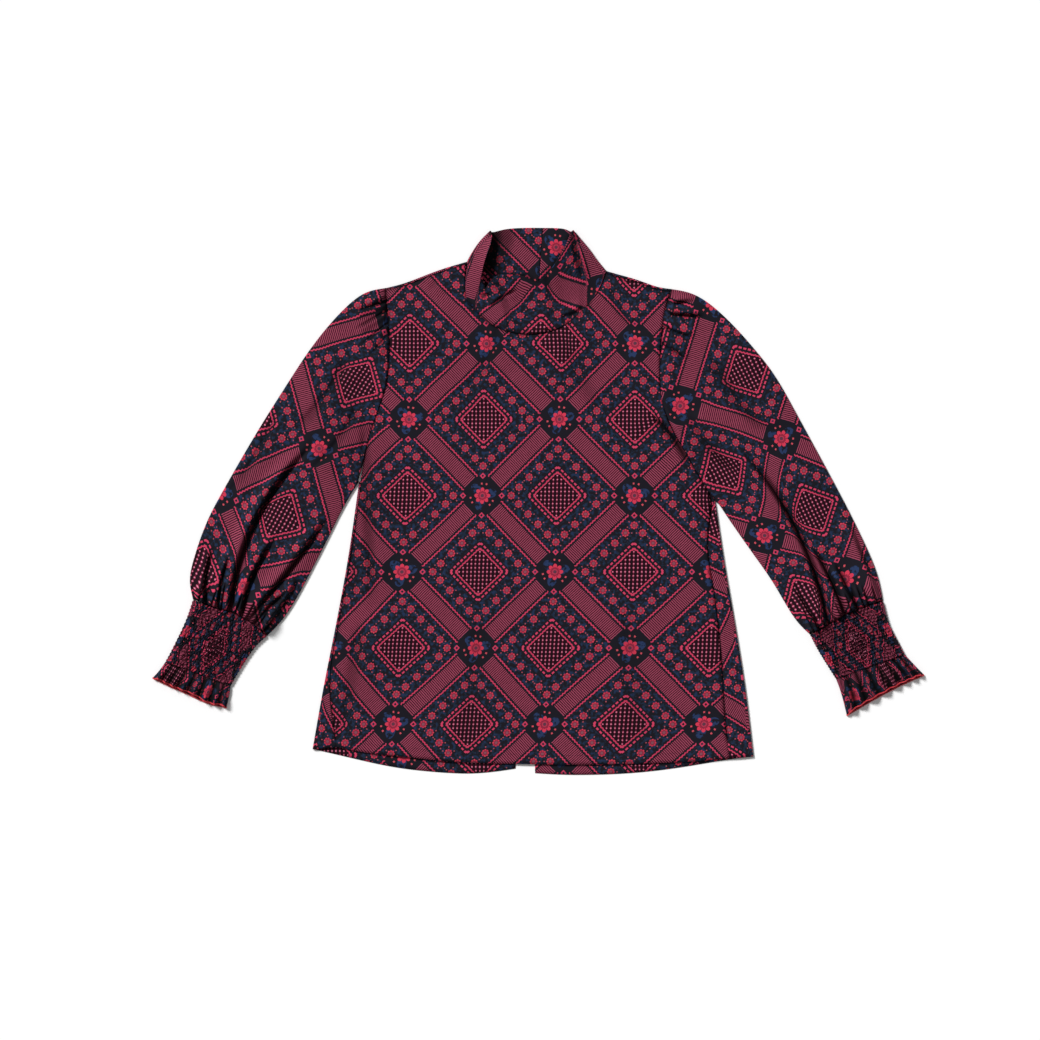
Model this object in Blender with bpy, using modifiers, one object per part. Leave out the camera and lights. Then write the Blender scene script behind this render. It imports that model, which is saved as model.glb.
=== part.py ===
"""Blouse with a funnel collar and long gathered sleeves, laid flat with its front up.

Metres, +Z up, +Y towards the neck and +X towards the right of the picture. The garment lies
on the plane Z = 0. Each piece of cloth is one open surface made of its outer points, and
Solidify gives it its wall. Two panels that are sewn together share one seam line, and each
stops half the seam gap short of it.
"""

import bisect
import math

import bpy
import bmesh
from mathutils import Vector

# Driving dimensions
WALL = 0.0012            # wall of the cloth
SEAM_GAP = 0.0003        # clearance between two pieces along a seam
ROLL = 0.0018            # outer radius of a folded edge, so two layers are 3.6 mm thick
SEAM_INSET = 0.0026      # how far inside a folded edge the seam of the top layer runs
END_PULL = 0.0004        # a folded edge stops this short of one that it runs on into
NOTCH_PULL = 0.0012      # and this short of the underarm, where two folded edges part
FRONT_RISE = 0.0010      # the front's middle lies this much above its edges
NECK_RISE = 0.0032       # the neck seam's middle stands this much above a folded edge
ARMHOLE_RISE = 0.0014    # the armhole seam's middle stands this much above a folded edge
SLEEVE_RISE = 0.0022     # middle of the sleeve above its edges
SLEEVE_END = 0.0026      # middle of the sleeve's end above its edges, where it meets the cuff
CUFF_ROLL = 0.0027       # outer radius of the cuff's side folds
CUFF_PUFF = 0.0013       # height of one shirred puff on the wall
RUFFLE_WAVE = 0.0036     # height of a ruffle's wave at its free edge
RUFFLE_WAVES = 7         # waves on the ruffle's top layer
COLLAR_ROLL = 0.0045     # outer radius of the collar's side folds at its top edge
MERGE = 0.00002          # points of two grids this close are one point

# Counts of faces along the panels
SIDE_ROWS = 10           # side seam, hem to underarm
SLIT_ROWS = 6            # open slit below the centre back seam
ARM_STEPS = 8            # armhole seam, underarm to shoulder tip
ARM_CORNER = 4           # armhole step at which the sleeve's grid turns its corner
SHOULDER_COLUMNS = 5     # shoulder seam
NECK_STEPS = 12          # neck seam along the front
NECK_CORNER = 2          # neck step at which the collar's grid turns its corner
BACK_NECK_STEPS = 4      # neck seam along one half of the back
SLEEVE_ROWS = 18         # sleeve, armhole to cuff
COLLAR_ROWS = 8          # collar, neck seam to top edge
CUFF_ROWS = 9            # cuff, join to ruffle
RUFFLE_ROWS = 3          # ruffle, cuff to free edge
ROLL_STEPS = 4           # faces round a folded edge
JOIN_STEPS = 4           # cuff join, outer edge to inner edge
PUFFS_ACROSS = 14        # shirred puffs across a cuff's face
HEAD_SPLIT = 4           # columns of a sleeve's top layer for each step of its seam
CURVE_STEPS = 10         # straight steps between two rows of an outline
TRIM_STEPS = 60          # straight steps that measure a curve's length
BODY_ROWS = SIDE_ROWS + ARM_STEPS

# Rough seam lengths, from which a trim in metres becomes a share of the seam
ARM_BLOCK = 0.068        # armhole beside a shoulder block
NECK_BLOCK = 0.048       # neck beside a shoulder block
ARM_HEAD = 0.136         # armhole round the sleeve head

# Which side of a curve that runs up the body is inward: 1 its left, -1 its right
INWARD = {"left": -1, "right": 1}

# Outlines in plan, measured flat. Each row is a point: x, y
BODY_SIDE = {
    "left": ((-0.2938, -0.3218), (-0.2789, -0.2373), (-0.2646, -0.1664), (-0.2471, -0.0709),
             (-0.2334, 0.0254)),
    "right": ((0.2795, -0.3314), (0.2690, -0.2434), (0.2551, -0.1563), (0.2412, -0.0761),
              (0.2295, 0.0038)),
}
# Side seam on the top layer, hem to underarm: the back wraps round on to the front
SIDE_SEAM = {
    "left": ((-0.2620, -0.3190), (-0.2698, -0.2680), (-0.2722, -0.2217), (-0.2618, -0.1664),
             (-0.2443, -0.0709), (-0.2308, 0.0240)),
    "right": ((0.2477, -0.3338), (0.2450, -0.3020), (0.2420, -0.2720), (0.2386, -0.2060),
              (0.2315, -0.1372), (0.2243, -0.0917), (0.2190, -0.0500), (0.2268, 0.0024)),
}
# Shoulder, neck point to shoulder tip
SHOULDER = {
    "left": ((-0.0932, 0.3117), (-0.1235, 0.3030), (-0.1476, 0.2941), (-0.1645, 0.2870),
             (-0.1814, 0.2812), (-0.1983, 0.2776)),
    "right": ((0.0885, 0.2997), (0.1099, 0.2934), (0.1307, 0.2880), (0.1528, 0.2789),
              (0.1723, 0.2763)),
}
# Armhole seam, underarm to shoulder tip
ARMHOLE = {
    "left": ((-0.2334, 0.0254), (-0.2217, 0.0787), (-0.2139, 0.1047), (-0.2009, 0.1385),
             (-0.1957, 0.1645), (-0.1931, 0.2074), (-0.1957, 0.2360), (-0.1983, 0.2776)),
    "right": ((0.2295, 0.0038), (0.2100, 0.0306), (0.1866, 0.0696), (0.1690, 0.0995),
              (0.1580, 0.1385), (0.1567, 0.1619), (0.1593, 0.2035), (0.1606, 0.2360),
              (0.1723, 0.2763)),
}
FRONT_HEM = ((-0.2620, -0.3190), (-0.2155, -0.3279), (-0.1608, -0.3328), (-0.1190, -0.3379),
             (-0.0290, -0.3410), (0.0800, -0.3418), (0.1775, -0.3390), (0.2477, -0.3338))
# Back hem, centre back to side
BACK_HEM = {
    "left": ((-0.0302, -0.3471), (-0.0683, -0.3527), (-0.0956, -0.3539), (-0.1346, -0.3515),
             (-0.1736, -0.3476), (-0.2126, -0.3406), (-0.2516, -0.3312), (-0.2938, -0.3218)),
    "right": ((-0.0042, -0.3530), (0.0215, -0.3550), (0.0800, -0.3550), (0.1385, -0.3515),
              (0.1970, -0.3437), (0.2360, -0.3367), (0.2795, -0.3314)),
}
# Centre back: neck and the top of the slit
CENTRE_NECK = (0.0004, 0.2813)
CENTRE_SLIT = (-0.0110, -0.1300)
NECK_FRONT = ((-0.0932, 0.3117), (-0.0955, 0.2850), (-0.0920, 0.2570), (-0.0725, 0.2399),
              (-0.0586, 0.2269), (-0.0377, 0.2200), (-0.0111, 0.2165), (0.0202, 0.2223),
              (0.0389, 0.2315), (0.0618, 0.2536), (0.0806, 0.2768), (0.0885, 0.2997))
NECK_BACK = {
    "left": (CENTRE_NECK, (-0.0300, 0.2845), (-0.0600, 0.2935), (-0.0932, 0.3117)),
    "right": (CENTRE_NECK, (0.0280, 0.2835), (0.0560, 0.2895), (0.0885, 0.2997)),
}
# Collar: folded side edges from the neck point up, and the two stretches of its top edge
COLLAR_SIDE = {
    "left": ((-0.0932, 0.3117), (-0.0878, 0.3221), (-0.0761, 0.3393), (-0.0631, 0.3523)),
    "right": ((0.0885, 0.2997), (0.0754, 0.3153), (0.0683, 0.3262), (0.0514, 0.3461),
              (0.0456, 0.3530)),
}
COLLAR_FRONT_TOP = ((-0.0631, 0.3523), (-0.0618, 0.3335), (-0.0571, 0.3023), (-0.0384, 0.2938),
                    (-0.0215, 0.2841), (-0.0050, 0.2785), (0.0085, 0.2906), (0.0267, 0.3166),
                    (0.0358, 0.3309), (0.0456, 0.3530))
COLLAR_BACK_TOP = {
    "left": ((0.0058, 0.3556), (-0.0250, 0.3556), (-0.0631, 0.3523)),
    "right": ((0.0058, 0.3556), (0.0260, 0.3553), (0.0456, 0.3530)),
}
# Share of the collar's front top edge, and its height above the table
COLLAR_TOP_HEIGHT = ((0.00, 0.0090), (0.12, 0.0180), (0.24, 0.0220), (0.38, 0.0160),
                     (0.54, 0.0115), (0.75, 0.0165), (0.90, 0.0150), (1.00, 0.0090))

# Sleeves: outer and inner folded edges from the body to the cuff, then the cuff and ruffle
SLEEVE_OUTER = {
    "left": ((-0.1983, 0.2776), (-0.2090, 0.2789), (-0.2243, 0.2743), (-0.2548, 0.2490),
             (-0.2932, 0.2035), (-0.3309, 0.1463), (-0.3660, 0.0904), (-0.4037, 0.0254),
             (-0.4323, -0.0280), (-0.4518, -0.0865), (-0.4563, -0.1138), (-0.4490, -0.1277)),
    "right": ((0.1723, 0.2763), (0.1879, 0.2766), (0.2016, 0.2711), (0.2274, 0.2542),
              (0.2529, 0.2295), (0.2763, 0.2035), (0.3069, 0.1647), (0.3393, 0.1066),
              (0.3764, 0.0386), (0.4102, -0.0260), (0.4395, -0.0904), (0.4478, -0.1295)),
}
SLEEVE_INNER = {
    "left": ((-0.2334, 0.0254), (-0.2509, -0.0027), (-0.2815, -0.0638), (-0.3158, -0.1287),
             (-0.3348, -0.1573), (-0.3529, -0.1750)),
    "right": ((0.2295, 0.0038), (0.2516, -0.0260), (0.2776, -0.0649), (0.3036, -0.1034),
              (0.3231, -0.1372), (0.3400, -0.1626), (0.3526, -0.1728)),
}
CUFF_JOIN = {
    "left": ((-0.4490, -0.1277), (-0.4225, -0.1379), (-0.3987, -0.1431), (-0.3763, -0.1551),
             (-0.3529, -0.1750)),
    "right": ((0.4478, -0.1295), (0.4212, -0.1383), (0.3899, -0.1511), (0.3748, -0.1615),
              (0.3526, -0.1728)),
}
CUFF_OUTER = {
    "left": ((-0.4490, -0.1277), (-0.4597, -0.1578), (-0.4770, -0.1936), (-0.4849, -0.2081)),
    "right": ((0.4478, -0.1295), (0.4557, -0.1586), (0.4670, -0.1814), (0.4758, -0.1983)),
}
CUFF_INNER = {
    "left": ((-0.3529, -0.1750), (-0.3682, -0.1895), (-0.3855, -0.2148), (-0.4000, -0.2399)),
    "right": ((0.3526, -0.1728), (0.3608, -0.1892), (0.3712, -0.2067), (0.3864, -0.2308)),
}
RUFFLE_OUTER = {
    "left": ((-0.4849, -0.2081), (-0.4920, -0.2185), (-0.5012, -0.2287)),
    "right": ((0.4758, -0.1983), (0.4882, -0.2119), (0.5008, -0.2248)),
}
RUFFLE_INNER = {
    "left": ((-0.4000, -0.2399), (-0.4012, -0.2506), (-0.4053, -0.2679)),
    "right": ((0.3864, -0.2308), (0.3927, -0.2474), (0.4003, -0.2776)),
}
RUFFLE_END = {
    "left": ((-0.5012, -0.2287), (-0.4755, -0.2425), (-0.4492, -0.2526), (-0.4306, -0.2633),
             (-0.4053, -0.2679)),
    "right": ((0.5008, -0.2248), (0.4674, -0.2404), (0.4349, -0.2578), (0.4003, -0.2776)),
}

# Folds: start x, y, end x, y, sideways bow at the middle, half width, height
FRONT_FOLDS = (
    (-0.2165, 0.0900, -0.2060, -0.1350, 0.0000, 0.018, 0.0022),
    (0.1560, 0.1120, 0.2000, 0.0480, 0.0040, 0.014, 0.0034),
    (-0.1140, 0.3050, -0.1350, 0.2700, 0.0000, 0.014, 0.0014),
    (0.1000, 0.2850, 0.1300, 0.2300, -0.0040, 0.018, 0.0016),
    (-0.0400, 0.2150, -0.0900, 0.1300, 0.0060, 0.024, 0.0014),
    (0.0450, 0.2200, 0.0950, 0.1200, -0.0060, 0.024, 0.0014),
    (-0.2200, -0.1700, -0.2420, -0.3050, 0.0000, 0.022, 0.0020),
    (-0.0600, -0.1600, -0.0800, -0.3300, 0.0040, 0.030, 0.0012),
    (0.1350, -0.1400, 0.1500, -0.3250, -0.0040, 0.030, 0.0012),
)
SLEEVE_FOLDS = {
    "left": (
        (-0.4200, -0.1390, -0.3160, 0.0760, 0.0220, 0.017, 0.0038),
        (-0.3960, -0.1440, -0.3440, -0.0380, -0.0040, 0.012, 0.0032),
        (-0.3800, -0.1530, -0.2760, -0.0120, -0.0120, 0.014, 0.0034),
        (-0.4360, -0.1330, -0.4280, -0.0620, 0.0040, 0.011, 0.0026),
        (-0.3640, -0.1650, -0.3260, -0.1080, -0.0040, 0.010, 0.0024),
        (-0.1975, 0.2690, -0.2300, 0.2590, 0.0000, 0.008, 0.0026),
        (-0.1955, 0.2550, -0.2360, 0.2360, 0.0000, 0.008, 0.0030),
        (-0.1945, 0.2390, -0.2340, 0.2120, 0.0000, 0.009, 0.0026),
        (-0.1935, 0.2190, -0.2240, 0.1860, 0.0000, 0.009, 0.0020),
        (-0.2280, 0.1260, -0.2960, 0.0560, 0.0060, 0.020, 0.0018),
    ),
    "right": (
        (0.3760, -0.1620, 0.2580, 0.0700, -0.0140, 0.016, 0.0038),
        (0.4120, -0.1420, 0.3840, -0.0860, 0.0000, 0.012, 0.0030),
        (0.4340, -0.1320, 0.3960, 0.0020, -0.0020, 0.013, 0.0034),
        (0.3920, -0.1510, 0.3600, -0.0780, -0.0040, 0.011, 0.0028),
        (0.3620, -0.1700, 0.3380, -0.1240, 0.0000, 0.010, 0.0022),
        (0.1740, 0.2600, 0.2040, 0.2660, 0.0000, 0.008, 0.0030),
        (0.1680, 0.2470, 0.2080, 0.2440, 0.0000, 0.008, 0.0030),
        (0.1620, 0.2300, 0.2000, 0.2160, 0.0000, 0.009, 0.0026),
        (0.1600, 0.2100, 0.1940, 0.1880, 0.0000, 0.009, 0.0020),
        (0.2060, 0.1120, 0.2620, 0.0440, -0.0060, 0.020, 0.0018),
    ),
}
COLLAR_FOLDS = (
    (-0.0760, 0.3300, -0.0860, 0.2500, 0.0000, 0.011, -0.0030),
    (0.0480, 0.3420, 0.0720, 0.2800, 0.0000, 0.010, -0.0026),
    (-0.0500, 0.2900, -0.0300, 0.2250, 0.0030, 0.012, 0.0020),
    (0.0160, 0.2950, 0.0240, 0.2300, 0.0020, 0.012, 0.0020),
)

# Colours of the plain solids: red, green, blue
CLOTH_COLOUR = (0.035, 0.012, 0.022)
EDGE_COLOUR = (0.300, 0.020, 0.040)


def table(rows, t):
    """Read a two-column table at t with straight lines between its rows."""
    for (t0, a), (t1, b) in zip(rows, rows[1:]):
        if t <= t1:
            return a + (b - a) * (t - t0) / (t1 - t0)
    return rows[-1][1]


def catmull_rom(p0, p1, p2, p3, t):
    """Return the point at t between p1 and p2 of the smooth curve through four points."""
    return 0.5 * (2 * p1 + (p2 - p0) * t + (2 * p0 - 5 * p1 + 4 * p2 - p3) * t ** 2
                  + (3 * p1 - p0 - 3 * p2 + p3) * t ** 3)


def along(points):
    """Return at(t), which reads a line through points at a share t of its length."""
    lengths = [0.0]
    for a, b in zip(points, points[1:]):
        lengths.append(lengths[-1] + (b - a).length)

    def at(t):
        target = min(max(t, 0.0), 1.0) * lengths[-1]
        i = min(bisect.bisect_right(lengths, target) - 1, len(points) - 2)
        return points[i].lerp(points[i + 1], (target - lengths[i]) / (lengths[i + 1] - lengths[i]))

    return at


def smooth(rows):
    """Return at(t) for a smooth curve through the rows of an outline."""
    points = [Vector((x, y, 0.0)) for x, y in rows]
    ends = [2 * points[0] - points[1]] + points + [2 * points[-1] - points[-2]]
    fine = [catmull_rom(*ends[i:i + 4], k / CURVE_STEPS)
            for i in range(len(points) - 1) for k in range(CURVE_STEPS)]
    return along(fine + [points[-1]])


def flip(curve):
    """Return the curve read from its other end."""
    return lambda t: curve(1.0 - t)


def part_of(curve, start, end):
    """Return the stretch of a curve between two shares of it."""
    return lambda t: curve(start + (end - start) * t)


def normal(curve, t, side):
    """Return the level direction across a curve: side 1 is its left, -1 its right."""
    step = 0.01
    a = curve(max(t - step, 0.0))
    b = curve(min(t + step, 1.0))
    run = (b - a).normalized()
    return Vector((-run.y, run.x, 0.0)) * side


def inset(curve, side, distance):
    """Return the curve moved sideways by distance, a number or a function of t."""
    def at(t):
        away = distance(t) if callable(distance) else distance
        return curve(t) + normal(curve, t, side) * away

    return at


def seam(rows, steps, side):
    """Return a seam line of straight steps, moved half the seam gap to one side.

    The corners are at equal shares, and at(t) is even in steps, so two panels that share
    the seam have the same corners.
    """
    curve = smooth(rows)
    corners = [inset(curve, side, SEAM_GAP / 2)(i / steps) for i in range(steps + 1)]

    def at(t):
        place = min(max(t, 0.0), 1.0) * steps
        i = min(int(place + 1e-9), steps - 1)
        return corners[i].lerp(corners[i + 1], place - i)

    return at


def lift(curve, height):
    """Return the curve at a height above the table, a number or a function of t."""
    def at(t):
        point = curve(t).copy()
        point.z = height(t) if callable(height) else height
        return point

    return at


def stopped(curve, share):
    """Return the curve held at the point that it reaches at a share of it."""
    return lambda t: curve(min(t, share))


def chain(*pieces):
    """Join curves end to end: each piece is a curve and the share at which it stops."""
    def at(t):
        start = 0.0
        for curve, end in pieces:
            if t <= end + 1e-9:
                return curve((t - start) / (end - start))
            start = end
        return pieces[-1][0](1.0)

    return at


def meeting(curve, start, end, reach):
    """Return the curve with its ends moved to two points, over a short reach at each end."""
    from_start = start - curve(0.0)
    from_end = end - curve(1.0)

    def at(t):
        near_start = from_start * max(0.0, 1 - t / reach)
        return curve(t) + near_start + from_end * max(0.0, 1 - (1 - t) / reach)

    return at


def patch(first, last, left, right, steps):
    """Return at(s, v), the surface between four edges.

    The left and right edges hold at the corners. The first and last ones are bent to meet
    them, each over one of its steps.
    """
    first = meeting(first, left(0.0), right(0.0), 1 / steps)
    last = meeting(last, left(1.0), right(1.0), 1 / steps)

    def at(s, v):
        ends = first(0.0).lerp(first(1.0), s).lerp(last(0.0).lerp(last(1.0), s), v)
        return first(s).lerp(last(s), v) + left(v).lerp(right(v), s) - ends

    return at


def fold_height(point, folds):
    """Return how much the folds of a table raise the cloth at a point.

    A fold rises over the first eighth of its length and dies out over the last quarter.
    """
    height = 0.0
    for x0, y0, x1, y1, bow, half_width, rise in folds:
        start = Vector((x0, y0))
        run = Vector((x1, y1)) - start
        offset = point.xy - start
        t = offset.dot(run) / run.length_squared
        if not 0.0 < t < 1.0:
            continue
        across = (run.x * offset.y - run.y * offset.x) / run.length - 4 * bow * t * (1 - t)
        if abs(across) < half_width:
            profile = math.cos(math.pi / 2 * across / half_width) ** 2
            height += rise * profile * min(1.0, 4 * (1 - t)) * min(1.0, 8 * t)
    return height


def arch(t):
    """Return 0 at both ends of a span and 1 over most of its middle."""
    return math.sin(math.pi * min(max(t, 0.0), 1.0)) ** 0.5


def relaxed(grid, rounds):
    """Even out the inner points of a grid: each moves to the mean of its neighbours."""
    for _ in range(rounds):
        before = [list(line) for line in grid]
        for r in range(1, len(grid) - 1):
            for c in range(1, len(grid[r]) - 1):
                grid[r][c] = (before[r - 1][c] + before[r + 1][c]
                              + before[r][c - 1] + before[r][c + 1]) / 4
    return grid


def sheet_grid(surface, columns, rows, rise=None, folds=(), edge_fade=False, rounds=30):
    """Return rows of points of a surface, raised by a rule in s and v and by folds.

    With edge_fade, the folds die out towards the first and last columns.
    """
    grid = relaxed([[surface(c / columns, r / rows).copy() for c in range(columns + 1)]
                    for r in range(rows + 1)], rounds)
    for r, line in enumerate(grid):
        for c, point in enumerate(line):
            s = c / columns
            fade = min(1.0, 8 * s * (1 - s)) ** 2 if edge_fade else 1.0
            point.z += fold_height(point, folds) * fade
            if rise:
                point.z += rise(s, r / rows)
    return grid


def roll_grid(edge, side, roll, rows, wall=0.0):
    """Return rows of points round a folded edge, from the underside to the top.

    With wall, they are the points of the fold's inner side.
    """
    grid = []
    for t in places(rows):
        radius = roll(t) if callable(roll) else roll
        inward = normal(edge, t, side)
        line = []
        for k in range(ROLL_STEPS + 1):
            angle = math.pi * k / ROLL_STEPS
            point = edge(t) + inward * (radius - (radius - wall) * math.sin(angle))
            point.z = radius - (radius - wall) * math.cos(angle)
            line.append(point)
        grid.append(line)
    return grid


def trimmed(rows, start=0.0, end=0.0):
    """Return the smooth curve through rows, cut shorter by so many metres at its ends."""
    curve = smooth(rows)
    steps = zip(places(TRIM_STEPS), places(TRIM_STEPS)[1:])
    length = sum((curve(a) - curve(b)).length for a, b in steps)
    return part_of(curve, start / length, 1.0 - end / length)


def places(count):
    """Return count equal steps of a curve, from 0 to 1."""
    return [i / count for i in range(count + 1)]


def between(near, far, count, rows):
    """Return a flat strip between two curves, count faces wide."""
    return [[near(t).lerp(far(t), c / count) for c in range(count + 1)] for t in places(rows)]


def rising(low, rise):
    """Return a height that is low at both ends of a seam and low + rise at its middle."""
    return lambda t: low + rise * math.sin(math.pi * t)


def material(name, colour):
    """Return a matt cloth material."""
    made = bpy.data.materials.new(name)
    made.use_nodes = True
    shader = made.node_tree.nodes["Principled BSDF"]
    shader.inputs["Base Color"].default_value = (*colour, 1.0)
    shader.inputs["Roughness"].default_value = 0.75
    shader.inputs["Metallic"].default_value = 0.0
    return made


def cloth(name, grids, collection, puffs=None, colour=CLOTH_COLOUR):
    """Make one piece of cloth from grids of points that meet along shared points.

    The points are the wall's outer side. With puffs, a grid of heights for each grid of
    points, they are its plain inner side, and the outer side is raised by those heights.
    """
    mesh = bpy.data.meshes.new(name)
    shape = bmesh.new()
    puff = shape.verts.layers.float.new("puff")
    for index, grid in enumerate(grids):
        rows = [[shape.verts.new(point) for point in line] for line in grid]
        for near, far in zip(rows, rows[1:]):
            for i in range(len(near) - 1):
                shape.faces.new((near[i], near[i + 1], far[i + 1], far[i]))
        if puffs:
            for line, heights in zip(rows, puffs[index]):
                for vertex, height in zip(line, heights):
                    vertex[puff] = height
    bmesh.ops.remove_doubles(shape, verts=shape.verts, dist=MERGE)
    bmesh.ops.recalc_face_normals(shape, faces=shape.faces)
    highest = max(shape.faces, key=lambda face: face.calc_center_median().z)
    if highest.normal.z < 0:
        bmesh.ops.reverse_faces(shape, faces=shape.faces)
    shape.to_mesh(mesh)
    shape.free()
    mesh.shade_smooth()
    mesh.materials.append(material(name + "_cloth", colour))
    piece = bpy.data.objects.new(name, mesh)
    collection.objects.link(piece)
    wall = piece.modifiers.new("Wall", "SOLIDIFY")
    if puffs:
        wall.thickness = WALL + CUFF_PUFF
        wall.offset = 1.0
        group = piece.vertex_groups.new(name="wall_thickness")
        for vertex, height in zip(mesh.vertices, mesh.attributes["puff"].data):
            group.add([vertex.index], (WALL + height.value) / wall.thickness, "REPLACE")
        wall.vertex_group = group.name
    else:
        wall.thickness = WALL
        wall.offset = -1.0
        wall.use_even_offset = True
    return piece


def front(collection):
    """Make the front: a panel up to the neck, and a block on each side up to the shoulder."""
    low = 2 * ROLL
    block_rows = NECK_CORNER
    arm_low = 1.0 - block_rows / ARM_STEPS
    turn = NECK_CORNER / NECK_STEPS
    neck = lift(seam(NECK_FRONT, NECK_STEPS, -1), rising(low, NECK_RISE - FRONT_RISE))
    middle = NECK_STEPS - 2 * NECK_CORNER
    columns = 2 * SHOULDER_COLUMNS + middle
    rows = SIDE_ROWS + ARM_STEPS - block_rows
    block = SHOULDER_COLUMNS / columns

    def armhole(key):
        return lift(seam(ARMHOLE[key], ARM_STEPS, INWARD[key]), rising(low, ARMHOLE_RISE))

    def side(key):
        seam_line = lift(seam(SIDE_SEAM[key], SIDE_ROWS, INWARD[key]), low)
        return chain((seam_line, SIDE_ROWS / rows), (part_of(armhole(key), 0.0, arm_low), 1.0))

    def level(key, neck_share):
        ends = armhole(key)(arm_low), neck(neck_share)
        return lambda t: ends[0].lerp(ends[1], t)

    levels = {"left": level("left", turn), "right": level("right", 1.0 - turn)}
    top = chain((levels["left"], block), (part_of(neck, turn, 1.0 - turn), 1.0 - block),
                (flip(levels["right"]), 1.0))
    body = patch(lift(smooth(FRONT_HEM), low), top, side("left"), side("right"), columns)
    grids = [sheet_grid(body, columns, rows,
                        lambda s, v: FRONT_RISE * arch(s) * min(1.0, 4 * v), FRONT_FOLDS)]
    for key, start, stop in (("left", turn, 0.0), ("right", 1.0 - turn, 1.0)):
        cut = SEAM_INSET + SEAM_GAP
        arm_side = stopped(part_of(armhole(key), arm_low, 1.0), 1.0 - cut / ARM_BLOCK)
        neck_side = stopped(part_of(neck, start, stop), 1.0 - cut / NECK_BLOCK)
        shoulder = inset(smooth(SHOULDER[key]), -INWARD[key], SEAM_INSET + SEAM_GAP / 2)
        surface = patch(levels[key], lift(flip(shoulder), low), arm_side, neck_side,
                        SHOULDER_COLUMNS)
        grids.append(sheet_grid(surface, SHOULDER_COLUMNS, block_rows,
                                lambda s, v: FRONT_RISE * arch(s * block) * (1 - v * v),
                                FRONT_FOLDS))
    return cloth("front", grids, collection)


def back_half(key, collection):
    """Make one half of the back: flat, with its side and shoulder edges rolled over."""
    inward = INWARD[key]
    side_edge = trimmed(BODY_SIDE[key], end=NOTCH_PULL)
    shoulder_edge = trimmed(SHOULDER[key], END_PULL, END_PULL)
    armhole = seam(ARMHOLE[key], ARM_STEPS, inward)
    outer = chain((inset(side_edge, inward, ROLL), SIDE_ROWS / BODY_ROWS), (armhole, 1.0))
    neck = seam(NECK_BACK[key], BACK_NECK_STEPS, -inward)
    columns = BACK_NECK_STEPS + SHOULDER_COLUMNS
    top = flip(chain((flip(inset(shoulder_edge, -inward, ROLL)), SHOULDER_COLUMNS / columns),
                     (flip(neck), 1.0)))
    outer = meeting(outer, outer(0.0), top(1.0), 1 / BODY_ROWS)
    corner = Vector((*CENTRE_NECK, 0.0))
    slit = seam((BACK_HEM[key][0], CENTRE_SLIT), SLIT_ROWS, -inward)
    closed = seam((CENTRE_SLIT, CENTRE_NECK), BODY_ROWS - SLIT_ROWS, -inward)
    centre = chain((slit, SLIT_ROWS / BODY_ROWS), (closed, 1.0))
    centre = meeting(centre, centre(0.0), centre(1.0) + top(0.0) - corner, 1 / BODY_ROWS)
    surface = patch(smooth(BACK_HEM[key]), top, centre, outer, columns)
    flat = sheet_grid(surface, columns, BODY_ROWS)
    side_roll = roll_grid(side_edge, inward, ROLL, SIDE_ROWS)
    shoulder_roll = roll_grid(shoulder_edge, -inward, ROLL, SHOULDER_COLUMNS)
    flap = between(lift(inset(side_edge, inward, ROLL), 2 * ROLL),
                   lift(seam(SIDE_SEAM[key], SIDE_ROWS, -inward), 2 * ROLL), 2, SIDE_ROWS)
    strip = between(lift(inset(shoulder_edge, -inward, ROLL), 2 * ROLL),
                    lift(inset(shoulder_edge, -inward, SEAM_INSET - SEAM_GAP / 2), 2 * ROLL),
                    1, SHOULDER_COLUMNS)
    return cloth("back_" + key, [flat, side_roll, shoulder_roll, flap, strip], collection)


def sleeve(key, collection):
    """Make one sleeve: a flattened tube, gathered at its head and into its cuff."""
    inward = INWARD[key]
    outer = trimmed(SLEEVE_OUTER[key], END_PULL, END_PULL)
    inner = trimmed(SLEEVE_INNER[key], NOTCH_PULL, END_PULL)
    armhole = seam(ARMHOLE[key], ARM_STEPS, -inward)
    join = seam(CUFF_JOIN[key], JOIN_STEPS, -inward)
    turn = ARM_CORNER / ARM_STEPS
    seam_rows = 2 * ARM_CORNER
    fold_rows = SLEEVE_ROWS - seam_rows
    arm_height = rising(2 * ROLL, ARMHOLE_RISE)

    def layer(top):
        high = 2 * ROLL if top else 0.0
        arm = lift(armhole, arm_height if top else 0.0)
        head = flip(stopped(part_of(arm, turn, 1.0), 1.0 - ROLL / ARM_HEAD))
        end = lift(join, (lambda t: high + SLEEVE_END * arch(t)) if top else 0.0)
        outside = lift(inset(outer, -inward, ROLL), high)
        inside = lift(inset(inner, inward, ROLL), high)
        under = flip(chain((flip(inside), fold_rows / SLEEVE_ROWS), (part_of(arm, 0.0, turn), 1.0)))
        return patch(head, end, outside, under, steps)

    steps = ARM_STEPS - ARM_CORNER
    upper = sheet_grid(layer(True), HEAD_SPLIT * steps, SLEEVE_ROWS,
                       lambda s, v: SLEEVE_RISE * arch(s) * arch(v), SLEEVE_FOLDS[key], True)
    lower = sheet_grid(layer(False), steps, SLEEVE_ROWS)
    rolls = [roll_grid(outer, -inward, ROLL, SLEEVE_ROWS),
             roll_grid(inner, inward, ROLL, fold_rows)]
    return cloth("sleeve_" + key, [upper, lower] + rolls, collection)


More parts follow.
